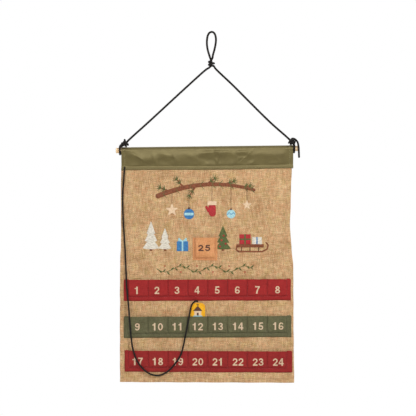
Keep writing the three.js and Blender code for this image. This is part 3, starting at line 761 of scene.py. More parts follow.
def wave(x, z):
    """Soft swell of the cloth towards the viewer."""
    across = (x - PANEL_CENTRE) / PANEL_WIDTH + 0.5
    down = (PANEL_TOP - z) / PANEL_HEIGHT
    depth = 0
    for column, half, row, tall, deep in WAVES:
        u = np.minimum(1, np.abs(across - column) / half)
        v = np.minimum(1, np.abs(down - row) / tall)
        depth = depth + deep * (np.cos(math.pi / 2 * u) * np.cos(math.pi / 2 * v)) ** 2
    return depth


def ripple(x, z):
    """Small unevenness of the hung cloth, backward only, gone under the sleeve."""
    a = np.sin(x / 17.0 + z / 61.0 + 1.3) * np.sin(z / 23.0 - x / 90.0)
    b = np.sin(x / 41.0 - z / 37.0 + 0.4)
    return (0.2 + 0.1 * a + 0.1 * b) * smooth((PANEL_TOP - 8 - z) / 30)


def panel_front(x, z):
    return PANEL_FRONT - wave(x, z) + ripple(x, z)


def on_panel(x, z, lift):
    return (x, float(panel_front(x, z)) - lift, z)


def behind_panel(x, z, lift):
    return (x, float(panel_front(x, z)) + CLOTH * 1.98 + lift, z)


def half_width(down, side):
    """From the panel's middle to its left (-1) or right (1) edge, at a share of its height."""
    return PANEL_WIDTH / 2 * np.interp(down, EDGES[:, 0], EDGES[:, 1 if side < 0 else 2])


HEM_SEAM = 8.6  # from the panel's edges to the stitches of its hems


def panel_grid():
    """Front, back and flat map of the panel, with its turned hems on the back."""
    edge = np.array([0, 0.7, 2.5, 5.0, 7.5, 9.3, 10.0])
    beyond = PANEL_HEM + 0.8
    inner = np.linspace(beyond, PANEL_WIDTH - beyond, 96)
    us = np.array([*edge, *inner, *(PANEL_WIDTH - edge[::-1])])
    rows = np.linspace(6.2, PANEL_HEIGHT - beyond, 120)
    vs = np.array([0, 0.7, 3, *rows, *(PANEL_HEIGHT - edge[::-1])])
    u, v = np.meshgrid(us, vs, indexing="ij")
    down = v / PANEL_HEIGHT
    left, right = half_width(down, -1), half_width(down, 1)
    uneven = 0.35 * np.sin(v / 9.0) * np.sin(v / 31.0 + 1)
    x = PANEL_CENTRE - left + uneven + (left + right) * u / PANEL_WIDTH
    sag = 0.25 * np.sin(u / 13.0) * smooth((down - 0.9) * 10)
    z = PANEL_TOP - v + down * -0.004 * (x - PANEL_CENTRE) + sag
    to_edge = (np.minimum(u, PANEL_WIDTH - u), PANEL_HEIGHT - v)
    hem = np.maximum(*(1 - smooth((away - PANEL_HEM + 0.6) / 1.2) for away in to_edge))
    hem = hem * smooth((v - 5) / 1.5)
    seam = sum(np.exp(-((away - HEM_SEAM) ** 2) / 1.2) for away in to_edge)
    dent = 0.22 * np.minimum(seam, 1)
    front = panel_front(x, z) + dent
    back = panel_front(x, z) + CLOTH + hem * CLOTH * 0.98 - dent
    return sheet(x, front, z), sheet(x, back, z), sheet(x, z)


panel_face, panel_rear, panel_map = panel_grid()
panel = cloth("burlap_panel", panel_face, panel_rear, "burlap", "banner", "burlap", panel_map)
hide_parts("banner_panel")

foot = PANEL_TOP - PANEL_HEIGHT + HEM_SEAM
hem_lines = []
for side in (-1, 1):
    rows = np.linspace(PANEL_TOP - 8, foot, 40)
    half = half_width((PANEL_TOP - rows) / PANEL_HEIGHT, side)
    hem_lines.append(np.stack([PANEL_CENTRE + side * (half - HEM_SEAM), rows], 1))
hem_lines.append([(PANEL_CENTRE + side * 196, foot - side * 0.8) for side in (-1, 1)])
stitches("panel_hem_stitches", hem_lines, on_panel, "thread_sand", "banner")
stitches("panel_hem_stitches_back", hem_lines, behind_panel, "thread_sand", "banner")

# ---------------------------------------------------------------- rod sleeve
BORE = ROD_RADIUS + 0.35
SLEEVE = 1.0
SLEEVE_CENTRE = -11.4
SLEEVE_HALF = 202.8
DROP_DOWN = 46.3
SEAM = 9.0
SIDE_SEAM = 7.4  # from the sleeve's ends and its foot to the stitches
FOOT_SEAM = 2.0
FALL = DROP_DOWN - SEAM
LEAN = math.asin((BORE - CLOTH / 2) / FALL)
# Where the front falls straight back to its seam: centre, half sizes (front grid), amount
SLACK = [
    (131.5, 160.0, 8.0, 7.5, 1.0),
    (148.0, 164.5, 7.5, 6.0, 1.0),
    (165.0, 160.5, 8.5, 8.0, 0.95),
    (187.0, 162.0, 12.0, 8.0, 0.6),
    (208.5, 158.0, 12.5, 9.0, 1.15),
    (218.0, 155.0, 5.0, 9.0, 1.3),
    (244.0, 153.5, 9.0, 5.0, 1.0),
    (228.0, 158.5, 9.5, 8.5, 0.9),
    (245.0, 155.0, 8.0, 6.0, 0.75),
    (245.0, 160.5, 9.0, 6.0, 0.85),
    (265.0, 160.0, 14.0, 8.0, 0.75),
    (283.0, 158.0, 9.0, 7.0, 0.6),
]
# Folds of the front: from, to (front grid), height, how far each side falls away
FOLDS = [
    (127.0, 150.0, 152.0, 165.5, 1.3, 3.0, 6.5),
    (152.5, 152.0, 156.5, 165.5, 0.7, 4.5, 6.0),
    (172.0, 151.5, 177.0, 165.0, 0.8, 3.4, 6.5),
    (196.5, 152.0, 199.5, 164.0, 0.6, 6.0, 4.4),
    (222.5, 147.0, 215.5, 165.0, 1.9, 3.2, 7.0),
    (253.5, 149.0, 235.5, 166.5, 0.7, 1.3, 2.6),
    (289.0, 151.0, 284.0, 165.0, 0.6, 4.0, 4.0),
    (141.5, 158.5, 146.5, 166.0, 0.45, 1.2, 2.2),
    (149.0, 163.0, 155.0, 166.5, 0.4, 1.2, 1.6),
    (203.0, 160.0, 209.0, 166.0, 0.4, 1.4, 2.0),
    (263.0, 158.0, 258.5, 166.0, 0.4, 1.4, 1.8),
]


def fold_height(x, z):
    """Height of the sleeve's folds at places on its front: each tapers out at both ends."""
    total = np.zeros(np.shape(x))
    for c0, r0, c1, r1, high, left, right in FOLDS:
        ax, az, bx, bz = gx(c0), gz(r0), gx(c1), gz(r1)
        dx, dz = bx - ax, bz - az
        long = math.hypot(dx, dz)
        t = ((x - ax) * dx + (z - az) * dz) / long**2
        off = ((z - az) * dx - (x - ax) * dz) / long
        wide = np.where(off > 0, right, left)
        taper = smooth((t + 0.12) / 0.4) * smooth((1.12 - t) / 0.4)
        total += high * taper / (1 + (off / wide) ** 2) ** 1.5
    return total


def slackness(x, z):
    total = np.zeros(np.shape(x))
    x = x + 3.0 * np.sin(z / 6.5 + 1.0) + 2.0 * np.sin(z / 3.7 + x / 31.0)
    z = z + 2.2 * np.sin(x / 8.3) + 1.6 * np.sin(x / 4.1 + 0.7)
    for c, r, wide, tall, amount in SLACK:
        away = np.hypot((x - gx(c)) / (wide * GRID), (z - gz(r)) / (tall * GRID))
        total = np.maximum(total, amount * (1 - smooth((away - 0.25) / 1.15)))
    return total


HEM_ROWS = (0, 0.7, 1.7, 2.6, 3.4, 4.2, 5.0, 5.8, 6.6, 7.4, 8.2, 8.7)
FALL_ROWS = 26
TOP_ROWS = 25
DROP_ROWS = len(HEM_ROWS) + FALL_ROWS


def sleeve_section():
    """Places round the sleeve: y, z below the dowel's axis, outward y and z, fall share."""
    rows = [(-CLOTH / 2, -DROP_DOWN + k, -1.0, 0.0, 0.0) for k in HEM_ROWS]
    touch = (-BORE * math.cos(LEAN), -BORE * math.sin(LEAN))
    for k in range(1, FALL_ROWS + 1):
        t = k / (FALL_ROWS + 1)
        y = -CLOTH / 2 + (touch[0] + CLOTH / 2) * t
        z = -FALL + (touch[1] + FALL) * t
        rows.append((y, z, -math.cos(LEAN), -math.sin(LEAN), t))
    for k in range(TOP_ROWS):
        a = -LEAN + (math.pi + 2 * LEAN) * k / (TOP_ROWS - 1)
        rows.append((-BORE * math.cos(a), BORE * math.sin(a), -math.cos(a), math.sin(a), 0.0))
    rows += [(-y, z, -ny, nz, t) for y, z, ny, nz, t in reversed(rows[:DROP_ROWS])]
    return np.array(rows)


def bell(away, square):
    """Bell of height 1 about nothing away."""
    return np.exp(-(away**2) / square)


section = sleeve_section()
inset = np.array([0, 0.6, 1.8, 3.4, 5.2, 6.6, 7.6, 8.4, 9.0, 9.6])
sleeve_x = np.linspace(11.0, 2 * SLEEVE_HALF - 11.0, 300)
sleeve_x = np.array([*inset, *sleeve_x, *(2 * SLEEVE_HALF - inset[::-1])])
sleeve_x = sleeve_x + SLEEVE_CENTRE - SLEEVE_HALF
sx, sk = np.meshgrid(sleeve_x, np.arange(len(section)), indexing="ij")
sy, sz, ny, nz, fall_share = (section[:, k][sk] for k in range(5))
sag = 1.6 * np.exp(-(((sx - 10.0) / 95.0) ** 2))
world_z = rod_height(sx) + sz - sag * smooth(-sz / DROP_DOWN)
near_end = SLEEVE_HALF - np.abs(sx - SLEEVE_CENTRE)
above = sz + DROP_DOWN
is_front = sy < 0
is_low = sz < -20
# The front hangs taut or, where it is slack, falls back to its seam. Folds stand on it
slack = slackness(sx, world_z)
taut = 2.5 * np.sin(math.pi * fall_share**0.6)
droop = 2.9 + 1.9 * np.exp(-(((sx - gx(226.0)) / 55.0) ** 2))
droop = droop + 0.4 * np.sin(sx / 13.0) + 0.2 * np.sin(sx / 5.3)
fallen = 2.1 * np.sin(math.pi * fall_share**droop)
soft = 0.5 * np.sin(sx / 19.0 + 1.0 + sz / 14.0) + 0.35 * np.sin(sx / 7.7 - sz / 9.0)
pinned = np.sin(math.pi * fall_share) ** 0.8
front_bulge = taut + (fallen - taut) * slack + (fold_height(sx, world_z) + 0.25 * soft) * pinned
bulge = np.where(is_front, front_bulge, (1.2 + 0.9 * soft) * pinned) * smooth((near_end - 8) / 16)
# The side hems are thicker, the stitches pull dents in, and the foot's turned edge puffs out
side_hem = (1 - smooth((near_end - 8.6) / 0.9)) * 0.6
side_pucker = (1 + 0.7 * np.sin(sz * TAU / 5.2 + 0.5 * np.sign(sx))) * is_front
foot_pucker = (1 + 0.5 * np.sin(sx * TAU / 6.1)) * (fall_share == 0) * is_low
dent = 0.75 * side_pucker * bell(near_end - SIDE_SEAM, 1.5)
dent = dent + 0.7 * foot_pucker * bell(above - FOOT_SEAM, 0.6)
puff = 0.8 * (1 - smooth((above - 2.8) / 5.0)) * smooth(above / 1.2) * is_low
reach_out = SLEEVE + side_hem + bulge - dent + puff
reach_in = np.maximum(bulge, 0) * 0.9
outer, inner = (sheet(sx, sy + ny * out, world_z + nz * out) for out in (reach_out, reach_in))
girth = reach_along(section[:, :2])
sleeve_map = sheet(sx, girth[sk])
sleeve = cloth("satin_rod_sleeve", outer, inner, "satin", "banner", "satin", sleeve_map)
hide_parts("rod_sleeve")


def on_sleeve(x, z, lift):
    """Front of the sleeve: z is measured from the dowel's axis."""
    i = int(np.argmin(np.abs(sleeve_x - x)))
    y = np.interp(rod_height(x) + z, outer[i, :DROP_ROWS, 2], outer[i, :DROP_ROWS, 1])
    return (x, float(y) - lift, rod_height(x) + z)


def behind_sleeve(x, z, lift):
    i = int(np.argmin(np.abs(sleeve_x - x)))
    y = np.interp(-z, -section[-DROP_ROWS:, 1], outer[i, -DROP_ROWS:, 1])
    return (x, float(y) + lift, rod_height(x) + z)


sleeve_lines = [
    [(SLEEVE_CENTRE + side * (SLEEVE_HALF - 2), -DROP_DOWN + FOOT_SEAM) for side in (-1, 1)]
]
for side in (-1, 1):
    seam_x = SLEEVE_CENTRE + side * (SLEEVE_HALF - SIDE_SEAM)
    sleeve_lines.append([(seam_x, -DROP_DOWN + 5.5), (seam_x, -2)])
stitches(
    "sleeve_stitches", sleeve_lines, on_sleeve, "thread_olive", "banner", length=2.4, gap=1.0,
    radius=0.34,
)
stitches(
    "sleeve_stitches_back", sleeve_lines, behind_sleeve, "thread_olive", "banner", length=2.6,
    radius=0.26,
)

# ---------------------------------------------------------------- pocket strips
STRIP_HEIGHT = 49.4
STRIP_SEAM = 10.0
STITCH_LINE = 9.3  # of the foot's seam, above the strip's foot
MARGIN = 10.4
PITCH = 46.9
POCKETS_LEFT = -198.1
POCKETS = 8
POCKETS_RIGHT = POCKETS_LEFT + PITCH * POCKETS
DEPTH = 5.8
HEM_SWELL = 2.6
DIVIDER_SWELL = 1.2
# Name, node, thread, cloth and its slot; top edge as a share of the panel, slope, side margins
STRIPS = [
    dict(
        name="red_pockets_1_to_8", node="pocket_strip_top", thread="thread_red",
        cloth="red", slot="red_cloth", down=0.5243, slope=0.0043, left=1.03, right=0.84,
    ),
    dict(
        name="green_pockets_9_to_16", node="pocket_strip_middle", thread="thread_green",
        cloth="green", slot="green_cloth", down=0.6953, slope=0.006, left=1.03, right=0.97,
    ),
    dict(
        name="red_pockets_17_to_24", node="pocket_strip_bottom", thread="thread_red",
        cloth="deep_red", slot="red_cloth", down=0.856, slope=-0.0045, left=0.83, right=1.18,
    ),
]
MARKER_STRIP, MARKER_POCKET, SPREAD = 1, 3, 2.6  # the marker holds its pocket further open
FULLNESS = RNG.uniform(1.0, 1.05, (3, POCKETS))


def strip_ends(strip):
    return POCKETS_LEFT - MARGIN * strip["left"], POCKETS_RIGHT + MARGIN * strip["right"]


def seam_swell(strip, x, rise):
    """How far the turned-in hem of a strip lifts its face along its seams, more between pockets."""
    start, end = strip_ends(strip)
    inner = (x > POCKETS_LEFT + PITCH / 2) & (x < POCKETS_RIGHT - PITCH / 2)
    swell = HEM_SWELL + DIVIDER_SWELL * inner * smooth((rise - STRIP_SEAM) / 4)
    return swell * smooth(rise / 1.8) * smooth(np.minimum(x - start, end - x) / 1.8)


def full(off_middle, power):
    """Puffed outline of a pocket: 1 inside, and quickly down to 0 at its seam, 1 off the middle."""
    return np.clip(1 - off_middle**power, 0, 1) ** 0.55


def strip_bow(index, x, rise):
    """How far the inside of a strip's cloth stands off the panel."""
    place = (x - POCKETS_LEFT) / PITCH
    pocket = np.clip(np.floor(place), 0, POCKETS - 1).astype(int)
    u = np.clip(place - pocket, 0, 1)
    v = np.clip((rise - STRIP_SEAM) / (STRIP_HEIGHT - STRIP_SEAM), 0, 1)
    bow = full(np.abs(2 * u - 1), 26) * (1 + 0.05 * np.sin(math.pi * u))
    spread = SPREAD * v * ((index == MARKER_STRIP) & (pocket == MARKER_POCKET))
    lean = 1.02 + 0.03 * np.sin(6.0 * u + 2.1 * pocket + index) * np.sin(3.0 * v + pocket)
    return bow * (DEPTH * full(1 - v, 20) * FULLNESS[index][pocket] * lean + spread)


def strip_face(index, x, rise):
    """How far the front of a strip stands off the panel, before its cloth's own thickness."""
    return np.maximum(strip_bow(index, x, rise), seam_swell(STRIPS[index], x, rise))


def strip_foot(strip, x):
    top = PANEL_TOP - PANEL_HEIGHT * strip["down"]
    return top - STRIP_HEIGHT + strip["slope"] * (x - PANEL_CENTRE)


def on_strip(index):
    def place(x, z, lift):
        rise = z - strip_foot(STRIPS[index], x)
        return (x, PANEL_FRONT - CLOTH - float(strip_face(index, np.array(x), rise)) - lift, z)

    return place


# Grid lines across one pocket, in pitches, and up a strip: close together where it bends
ACROSS = [0, 0.006, 0.014, 0.028, 0.05, 0.08, 0.12, 0.18, 0.27, 0.38, 0.5, 0.62, 0.73, 0.82, 0.88]
ACROSS += [0.92, 0.95, 0.972, 0.986, 0.994]
RISES = [0, 0.7, 2.5, 5.0, 7.5, 9.0, 9.8, 10.3, 10.9, 11.8, 13.2, 15, 18, 22, 27, 32, 36, 40, 43.5]
RISES += [46, 47.6, 48.7, STRIP_HEIGHT]


def build_strip(index):
    """One strip with its stitches, and the length of its cloth along the bowed pockets."""
    strip = STRIPS[index]
    start, end = strip_ends(strip)
    xs = [start, start + 0.7, start + 3, start + 6]
    xs += [POCKETS_LEFT + PITCH * (p + share) for p in range(POCKETS) for share in ACROSS]
    xs += [POCKETS_RIGHT, end - 5.5, end - 3, end - 0.7, end]
    x, rise = np.meshgrid(np.array(xs), np.array(RISES), indexing="ij")
    x = x + 0.2 * np.sin(rise / 6.0 + index) * ((x < start + 1) | (x > end - 1))
    z = strip_foot(strip, x) + rise
    z = z + 0.3 * np.sin(x / 21.0 + 2 * index) * (rise < 0.5)
    pucker = (1 + 0.6 * np.sin(x * TAU / 5.3)) * ((x > POCKETS_LEFT) & (x < POCKETS_RIGHT))
    dent = 0.2 * pucker * bell(rise - STITCH_LINE, 0.8)
    front = PANEL_FRONT - strip_face(index, x, rise) - CLOTH + dent
    back = PANEL_FRONT - strip_bow(index, x, rise) - 0.02
    piece = cloth(
        strip["name"], sheet(x, front, z), sheet(x, back, z), strip["cloth"], "banner",
        strip["slot"], sheet(x, z),
    )
    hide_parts(strip["node"])
    seam = [(x, strip_foot(strip, x) + STITCH_LINE) for x in (POCKETS_LEFT, POCKETS_RIGHT)]
    lines = []
    for x_at in POCKETS_LEFT + PITCH * np.arange(POCKETS + 1):
        base = strip_foot(strip, x_at)
        lines.append([(x_at, base + STITCH_LINE), (x_at, base + STRIP_HEIGHT - 0.8)])
    stitches(
        strip["name"] + "_stitches", [*lines, seam], on_strip(index), strip["thread"], "banner",
        length=2.6, gap=0.7, radius=0.3, proud=0.25,
    )
    return piece, reach_along(sheet(x[:, -3], front[:, -3]))[-1]


# ---------------------------------------------------------------- numerals, in cap heights
HALF_STROKE = 0.072
FLAG_OF_1 = [(0.07, 0.68), (0.3, 0.68), (0.3, 1), (0.26, 0.86), (0.17, 0.81), (0.07, 0.8)]
SLANT_OF_4 = [
    (0.02, 0.23), (0.02, 0.37), (0.37, 1), (0.5, 1), (0.5, 0.86), (0.4, 0.86), (0.13, 0.33),
]
LEG_OF_7 = [
    (0.44, 0.86), (0.62, 0.86), (0.62, 0.84), (0.45, 0.55), (0.37, 0.26), (0.34, 0), (0.155, 0),
    (0.19, 0.26), (0.27, 0.52), (0.38, 0.74),
]


def ring(p, cx, cy, rx, ry, start=0, stop=360, wide=HALF_STROKE):
    return stroke(p, arc_points(cx, cy, rx, ry, start, stop, 30), wide)


def box_shape(p, x0, y0, x1, y1):
    return polygon(p, [(x0, y0), (x1, y0), (x1, y1), (x0, y1)])


def digit(p, which):
    """Signed distance of one bold upright numeral, 0.68 wide and 1 high."""
    join = lambda *parts: np.min(parts, axis=0)
    if which == "0":
        return ring(p, 0.34, 0.5, 0.23, 0.405)
    if which == "1":
        return join(box_shape(p, 0.27, 0, 0.45, 1), polygon(p, FLAG_OF_1))
    if which == "2":
        line = arc_points(0.335, 0.68, 0.225, 0.225, 168, -38) + [(0.16, 0.16), (0.12, 0.09)]
        return join(stroke(p, line, HALF_STROKE), box_shape(p, 0.04, 0, 0.62, 0.165))
    if which == "3":
        return join(
            ring(p, 0.325, 0.725, 0.2, 0.185, 160, -85),
            ring(p, 0.33, 0.285, 0.23, 0.195, 88, -165),
        )
    if which == "4":
        return join(
            box_shape(p, 0.38, 0, 0.545, 1),
            box_shape(p, 0.02, 0.215, 0.66, 0.36),
            polygon(p, SLANT_OF_4),
        )
    if which == "5":
        return join(
            box_shape(p, 0.13, 0.84, 0.59, 1),
            polygon(p, [(0.13, 1), (0.29, 1), (0.235, 0.56), (0.06, 0.46)]),
            ring(p, 0.325, 0.315, 0.235, 0.225, 138, -158),
        )
    if which in "69":
        if which == "9":
            p = np.array([0.68, 1.0]) - p
        body = join(ring(p, 0.34, 0.295, 0.225, 0.205), ring(p, 0.36, 0.5, 0.245, 0.41, 205, 92))
        return join(body, ring(p, 0.36, 0.72, 0.2, 0.19, 92, 25))
    if which == "7":
        return join(box_shape(p, 0.05, 0.84, 0.62, 1), polygon(p, LEG_OF_7))
    return join(ring(p, 0.34, 0.735, 0.19, 0.175), ring(p, 0.34, 0.28, 0.225, 0.19))


CAP = 17.5
WIDE = 1.06
BOLD = 0.2
ADVANCE = 0.745
DIGIT_WIDE = 0.68
NUMERAL_START = (137.0, 137.5, 137.7)  # on the front grid, like the next two
NUMERAL_ROW = (289.9, 326.2, 361.4)
NUMERAL_PITCH = 20.06


def write_numbers(index):
    """Prints a strip's numbers, one on each pocket."""
    strip = STRIPS[index]
    points, faces, flat = [], [], []
    size = np.array([CAP * WIDE, CAP])
    for p in range(POCKETS):
        text = str(index * POCKETS + p + 1)
        centre, middle = at(NUMERAL_START[index] + NUMERAL_PITCH * p, NUMERAL_ROW[index])
        low = middle - CAP / 2 + strip["slope"] * (centre - PANEL_CENTRE)
        left = centre - size[0] * (ADVANCE * (len(text) - 1) + DIGIT_WIDE) / 2
        for k, which in enumerate(text):
            corner = np.array([left + k * ADVANCE * size[0], low])
            field = lambda q: digit((q - corner) / size, which) * CAP - BOLD
            box = (*(corner - (1, 1.5)), *(corner + (size[0] * DIGIT_WIDE + 1, CAP + 1.5)))
            patch(
                points, faces, flat, field, box, cell=0.5, place=on_strip(index), lift=0.16,
                edge=0.5, degrees=0,
            )
    make(strip["name"].replace("pockets", "numbers"), points, faces, "print", "banner", flat)


strip_pieces = []
for index in range(len(STRIPS)):
    strip_pieces.append(build_strip(index))
    write_numbers(index)

# ---------------------------------------------------------------- pocket of the last day
LAST_WIDTH, LAST_HEIGHT, LAST_DEPTH, LAST_SEAM = 57.4, 52.8, 5.7, 5.0
LAST_CENTRE = -16.8
LAST_TOP = PANEL_TOP - PANEL_HEIGHT * 0.3303
LAST_FOOT = LAST_TOP - LAST_HEIGHT


def last_skin(x, z):
    """Front of the last day's pocket, which lies on the swell of the panel."""
    u = np.clip(np.abs(x - LAST_CENTRE) / (LAST_WIDTH / 2 - LAST_SEAM), 0, 1)
    v = np.clip((z - LAST_FOOT - LAST_SEAM) / (LAST_HEIGHT - LAST_SEAM), 0, 1)
    return PANEL_FRONT - wave(x, z) - CLOTH - LAST_DEPTH * full(u, 12) * full(1 - v, 16)


def on_last(x, z, lift):
    return (x, float(last_skin(np.array(x), np.array(z))) - lift, z)


half = LAST_WIDTH / 2
edge = np.array([0, 0.7, 2.5, 4.2])
lx = [*(edge - half), *np.linspace(LAST_SEAM - half, half - LAST_SEAM, 40), *(half - edge[::-1])]
lr = [0, 0.7, 2.2, 3.8, *np.linspace(5, 50, 34), 51.4, 52.2, 52.8]
lx, lz = np.meshgrid(np.array(lx) + LAST_CENTRE, np.array(lr) + LAST_FOOT, indexing="ij")
ly = last_skin(lx, lz)
last_pocket = cloth(
    "last_day_pouch", sheet(lx, ly, lz), sheet(lx, ly + CLOTH, lz), "orange", "banner",
    "orange_cloth", sheet(lx, lz),
)
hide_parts("last_day_pocket")
left, right = LAST_CENTRE - half + 3, LAST_CENTRE + half - 3
top, base = LAST_TOP - 1, LAST_FOOT + 3
round_pocket = [(left, top), (left, base), (right, base), (right, top)]
stitches(
    "last_day_stitches", [round_pocket], on_last, "thread_brown", "banner", length=2.8, gap=1.2,
    radius=0.34,
)

# ---------------------------------------------------------------- day marker
FELT = 1.5
BACK_FELT, FRONT_FELT = -1.5, -3.3  # where the front of each felt lies in the marker's frame
MARKER_X = POCKETS_LEFT + PITCH * (MARKER_POCKET + 0.5)
MARKER_FOOT = PANEL_TOP - PANEL_HEIGHT * STRIPS[1]["down"] - STRIP_HEIGHT + STRIP_SEAM + 4.7
MARKER_HALF, MARKER_TALL = 17.0, 67.6
FOOT_ROUND, TOP_ROUND = 9.0, 10.5
MARKER_SEAM = 2.3
LEANING = math.radians(5)


def in_marker(x, y, z):
    """World place of a place in the marker's own upright frame."""
    return (
        MARKER_X + x,
        -1.0 + y * math.cos(LEANING) - z * math.sin(LEANING),
        MARKER_FOOT + y * math.sin(LEANING) + z * math.cos(LEANING),
    )


def marker_half(z):
    """Half the marker's width at a height."""
    low = FOOT_ROUND - np.clip(z, 0, FOOT_ROUND)
    high = np.clip(z - (MARKER_TALL - TOP_ROUND), 0, TOP_ROUND)
    corners = np.sqrt(FOOT_ROUND**2 - low**2) - TOP_ROUND + np.sqrt(TOP_ROUND**2 - high**2)
    return MARKER_HALF - FOOT_ROUND + corners


def felt(name, front, node):
    turns = np.linspace(0, math.pi / 2, 9)
    rows = [*(FOOT_ROUND * (1 - np.cos(turns))), *np.linspace(12, MARKER_TALL - TOP_ROUND - 2, 14)]
    rows += [*(MARKER_TALL - TOP_ROUND + TOP_ROUND * np.sin(turns))]
    rows[-1] = MARKER_TALL - 0.02
    widest = math.pi / 2 * 0.96
    across = np.sin(np.linspace(-1, 1, 23) * widest) / math.sin(widest)
    u, z = np.meshgrid(across, np.array(rows), indexing="ij")
    wide = np.maximum(marker_half(z), 1.2)
    x = u * wide
    rim = np.minimum((1 - np.abs(u)) * wide, np.minimum(z, MARKER_TALL - z))
    dent = 0.22 * bell(rim - MARKER_SEAM, 0.7)
    y_front = front + dent + 0.06 * np.sin(x / 2.1) * np.sin(z / 2.7 + 1)
    y_back = front + FELT - dent * 0.4
    faces = (sheet(*in_marker(x, y, z)) for y in (y_front, y_back))
    piece = cloth(name, *faces, "felt", "marker", "gold_felt", sheet(x, z))
    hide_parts(node)
    return piece


marker_back = felt("marker_back", BACK_FELT, "marker_back_felt")
marker_front = felt("marker_front", FRONT_FELT, "marker_front_felt")


def on_marker(x, z, lift):
    return in_marker(x, FRONT_FELT - lift, z)


def tongue(inside):
    """Outline of the marker, a given distance inside its edge, from the head's left corner."""
    head = MARKER_TALL - TOP_ROUND
    corners = [(-1, head, TOP_ROUND, 180), (1, head, TOP_ROUND, 90)]
    corners += [(1, FOOT_ROUND, FOOT_ROUND, 0), (-1, FOOT_ROUND, FOOT_ROUND, -90)]
    line = []
    for side, z, corner, start in corners:
        bend = corner - inside
        line += arc_points(side * (MARKER_HALF - corner), z, bend, bend, start, start - 90, 8)
    return line + line[:1]


marker_seam = [tongue(MARKER_SEAM)]
stitches(
    "marker_stitches", marker_seam, on_marker, "thread_gold", "marker", length=2.4, gap=1.0,
    radius=0.26,
)
tack = [[(-2.6, MARKER_TALL - k), (2.6, MARKER_TALL - k)] for k in (3.2, 4.0, 4.8, 5.6)]
stitches(
    "marker_bar_tack", tack, on_marker, "thread_brown", "marker", length=5.0, gap=0.2, radius=0.34
)


# ---------------------------------------------------------------- embroidery
class Embroidery:
    """Stitched shapes on one surface, gathered by thread colour. Later layers lie higher, and
    degrees is the way the threads run."""

    def __init__(self, name, place, body):
        self.name, self.place, self.body, self.parts = name, place, body, {}

    def add(self, material, field, box, degrees=90, layer=0, cell=0.9, lift=0.6, edge=1.6):
        points, faces, flat = self.parts.setdefault(material, ([], [], []))
        place = lambda x, z, rise: self.place(x, z, rise + 0.3 * layer)
        patch(points, faces, flat, field, box, cell, place, lift, edge, degrees)

    def line(self, material, points, wide, narrow=None, degrees=None, **rest):
        """A stitched line through points, from one half width to another."""
        narrow = wide if narrow is None else narrow
        line = np.array(points, float)
        reach = reach_along(line)
        sizes = wide + (narrow - wide) * reach / max(reach[-1], 1e-9)
        spokes = list(zip(line, line[1:], sizes, sizes[1:]))
        field = lambda p: np.min([segment(p, *spoke) for spoke in spokes], axis=0)
        pad = max(wide, narrow) + 1
        if degrees is None:
            d = line[-1] - line[0]
            degrees = math.degrees(math.atan2(d[1], d[0])) + 60
        self.add(material, field, (*(line.min(0) - pad), *(line.max(0) + pad)), degrees, **rest)

    def shape(self, material, corners, degrees=90, round_by=0.0, **rest):
        """A stitched shape between corners, made bigger and rounder by a distance."""
        corners = np.array(corners, float)
        pad = round_by + 1
        box = (*(corners.min(0) - pad), *(corners.max(0) + pad))
        self.add(material, lambda p: polygon(p, corners) - round_by, box, degrees, **rest)

    def disc(self, material, centre, radius, degrees=90, **rest):
        field = lambda p: np.linalg.norm(p - centre, axis=-1) - radius
        box = (*(centre - radius - 1), *(centre + radius + 1))
        self.add(material, field, box, degrees, **rest)

    def close(self):
        for material, (points, faces, flat) in self.parts.items():
            make(f"{self.name}_{material}", points, faces, material, self.body, flat)


def spots(*pairs):
    """Places on the front, from columns and rows of the front grid."""
    return [at(column, row) for column, row in pairs]


def block(c0, r0, c1, r1):
    return spots((c0, r0), (c1, r0), (c1, r1), (c0, r1))


def bearing(degrees):
    return np.array([math.cos(math.radians(degrees)), math.sin(math.radians(degrees))])


def star(centre, outer, inner):
    return [centre + (inner if k % 2 else outer) * bearing(90 + 36 * k) for k in range(10)]


def bough_row(column):
    share = (column - 158) / 96
    return 196 - 6 * share - 34 * share * (1 - share)


def on_bough(column):
    return at(column, bough_row(column))


picture = Embroidery("embroidery", on_panel, "banner")
# Bough with twigs, needles and hanging ornaments
bough = [on_bough(c) for c in np.linspace(158, 254, 17)]
picture.line("brown", bough, 6.0, 3.6, degrees=8, layer=1, edge=2.4)
FINE = dict(layer=2, cell=0.7, lift=0.5, edge=0.9)
twigs = [(170, 161, 188), (184, 177, 180), (206, 214, 179), (224, 233, 181.5), (240, 249, 186)]
twigs = [(on_bough(root), at(tip, row)) for root, tip, row in [*twigs, (196, 190, 195)]]
for root, tip in twigs:
    picture.line("brown", [root, tip], 2.4, 1.3, layer=1)
for root, tip in twigs:
    away = tip - root
    aim = math.degrees(math.atan2(away[1], away[0]))
    for spread in (-58, -30, 0, 30, 58):
        for back in (0.0, 0.45):
            start = tip - away * back
            needle = [start, start + 10.5 * bearing(aim + spread)]
            picture.line("greenwork", needle, 1.0, 0.5, **FINE)
for column in (163, 176, 190, 200, 212, 219, 230, 244, 251):
    for side in (-1, 1):
        start = on_bough(column)
        picture.line("greenwork", [start, start + (9.0, side * 9.5)], 1.0, 0.5, **FINE)
for column, row in [(172, 210), (189, 214), (212, 208), (231, 214), (247, 205)]:
    string = [on_bough(column), at(column, row - 5)]
    picture.line("dark", string, 0.55, degrees=30, cell=0.6, lift=0.4, edge=0.5)
picture.shape("creamwork", star(at(172, 210), 14.5, 6.2), 0, 0.6, layer=1)
picture.disc("blue", at(189, 214), 12.5, layer=1)
picture.shape("pale", block(184.2, 212.6, 193.8, 215.6), 0, layer=2)
picture.shape("dark", block(187.9, 207.4, 190.1, 209.4), 0, layer=2, cell=0.6)
picture.line("redwork", spots((212.1, 207.5), (212.4, 213.0)), 9.0, 8.4, degrees=20, layer=1)
picture.line("redwork", spots((208.6, 211.0), (206.4, 207.0)), 3.4, 3.0, degrees=70, layer=2)
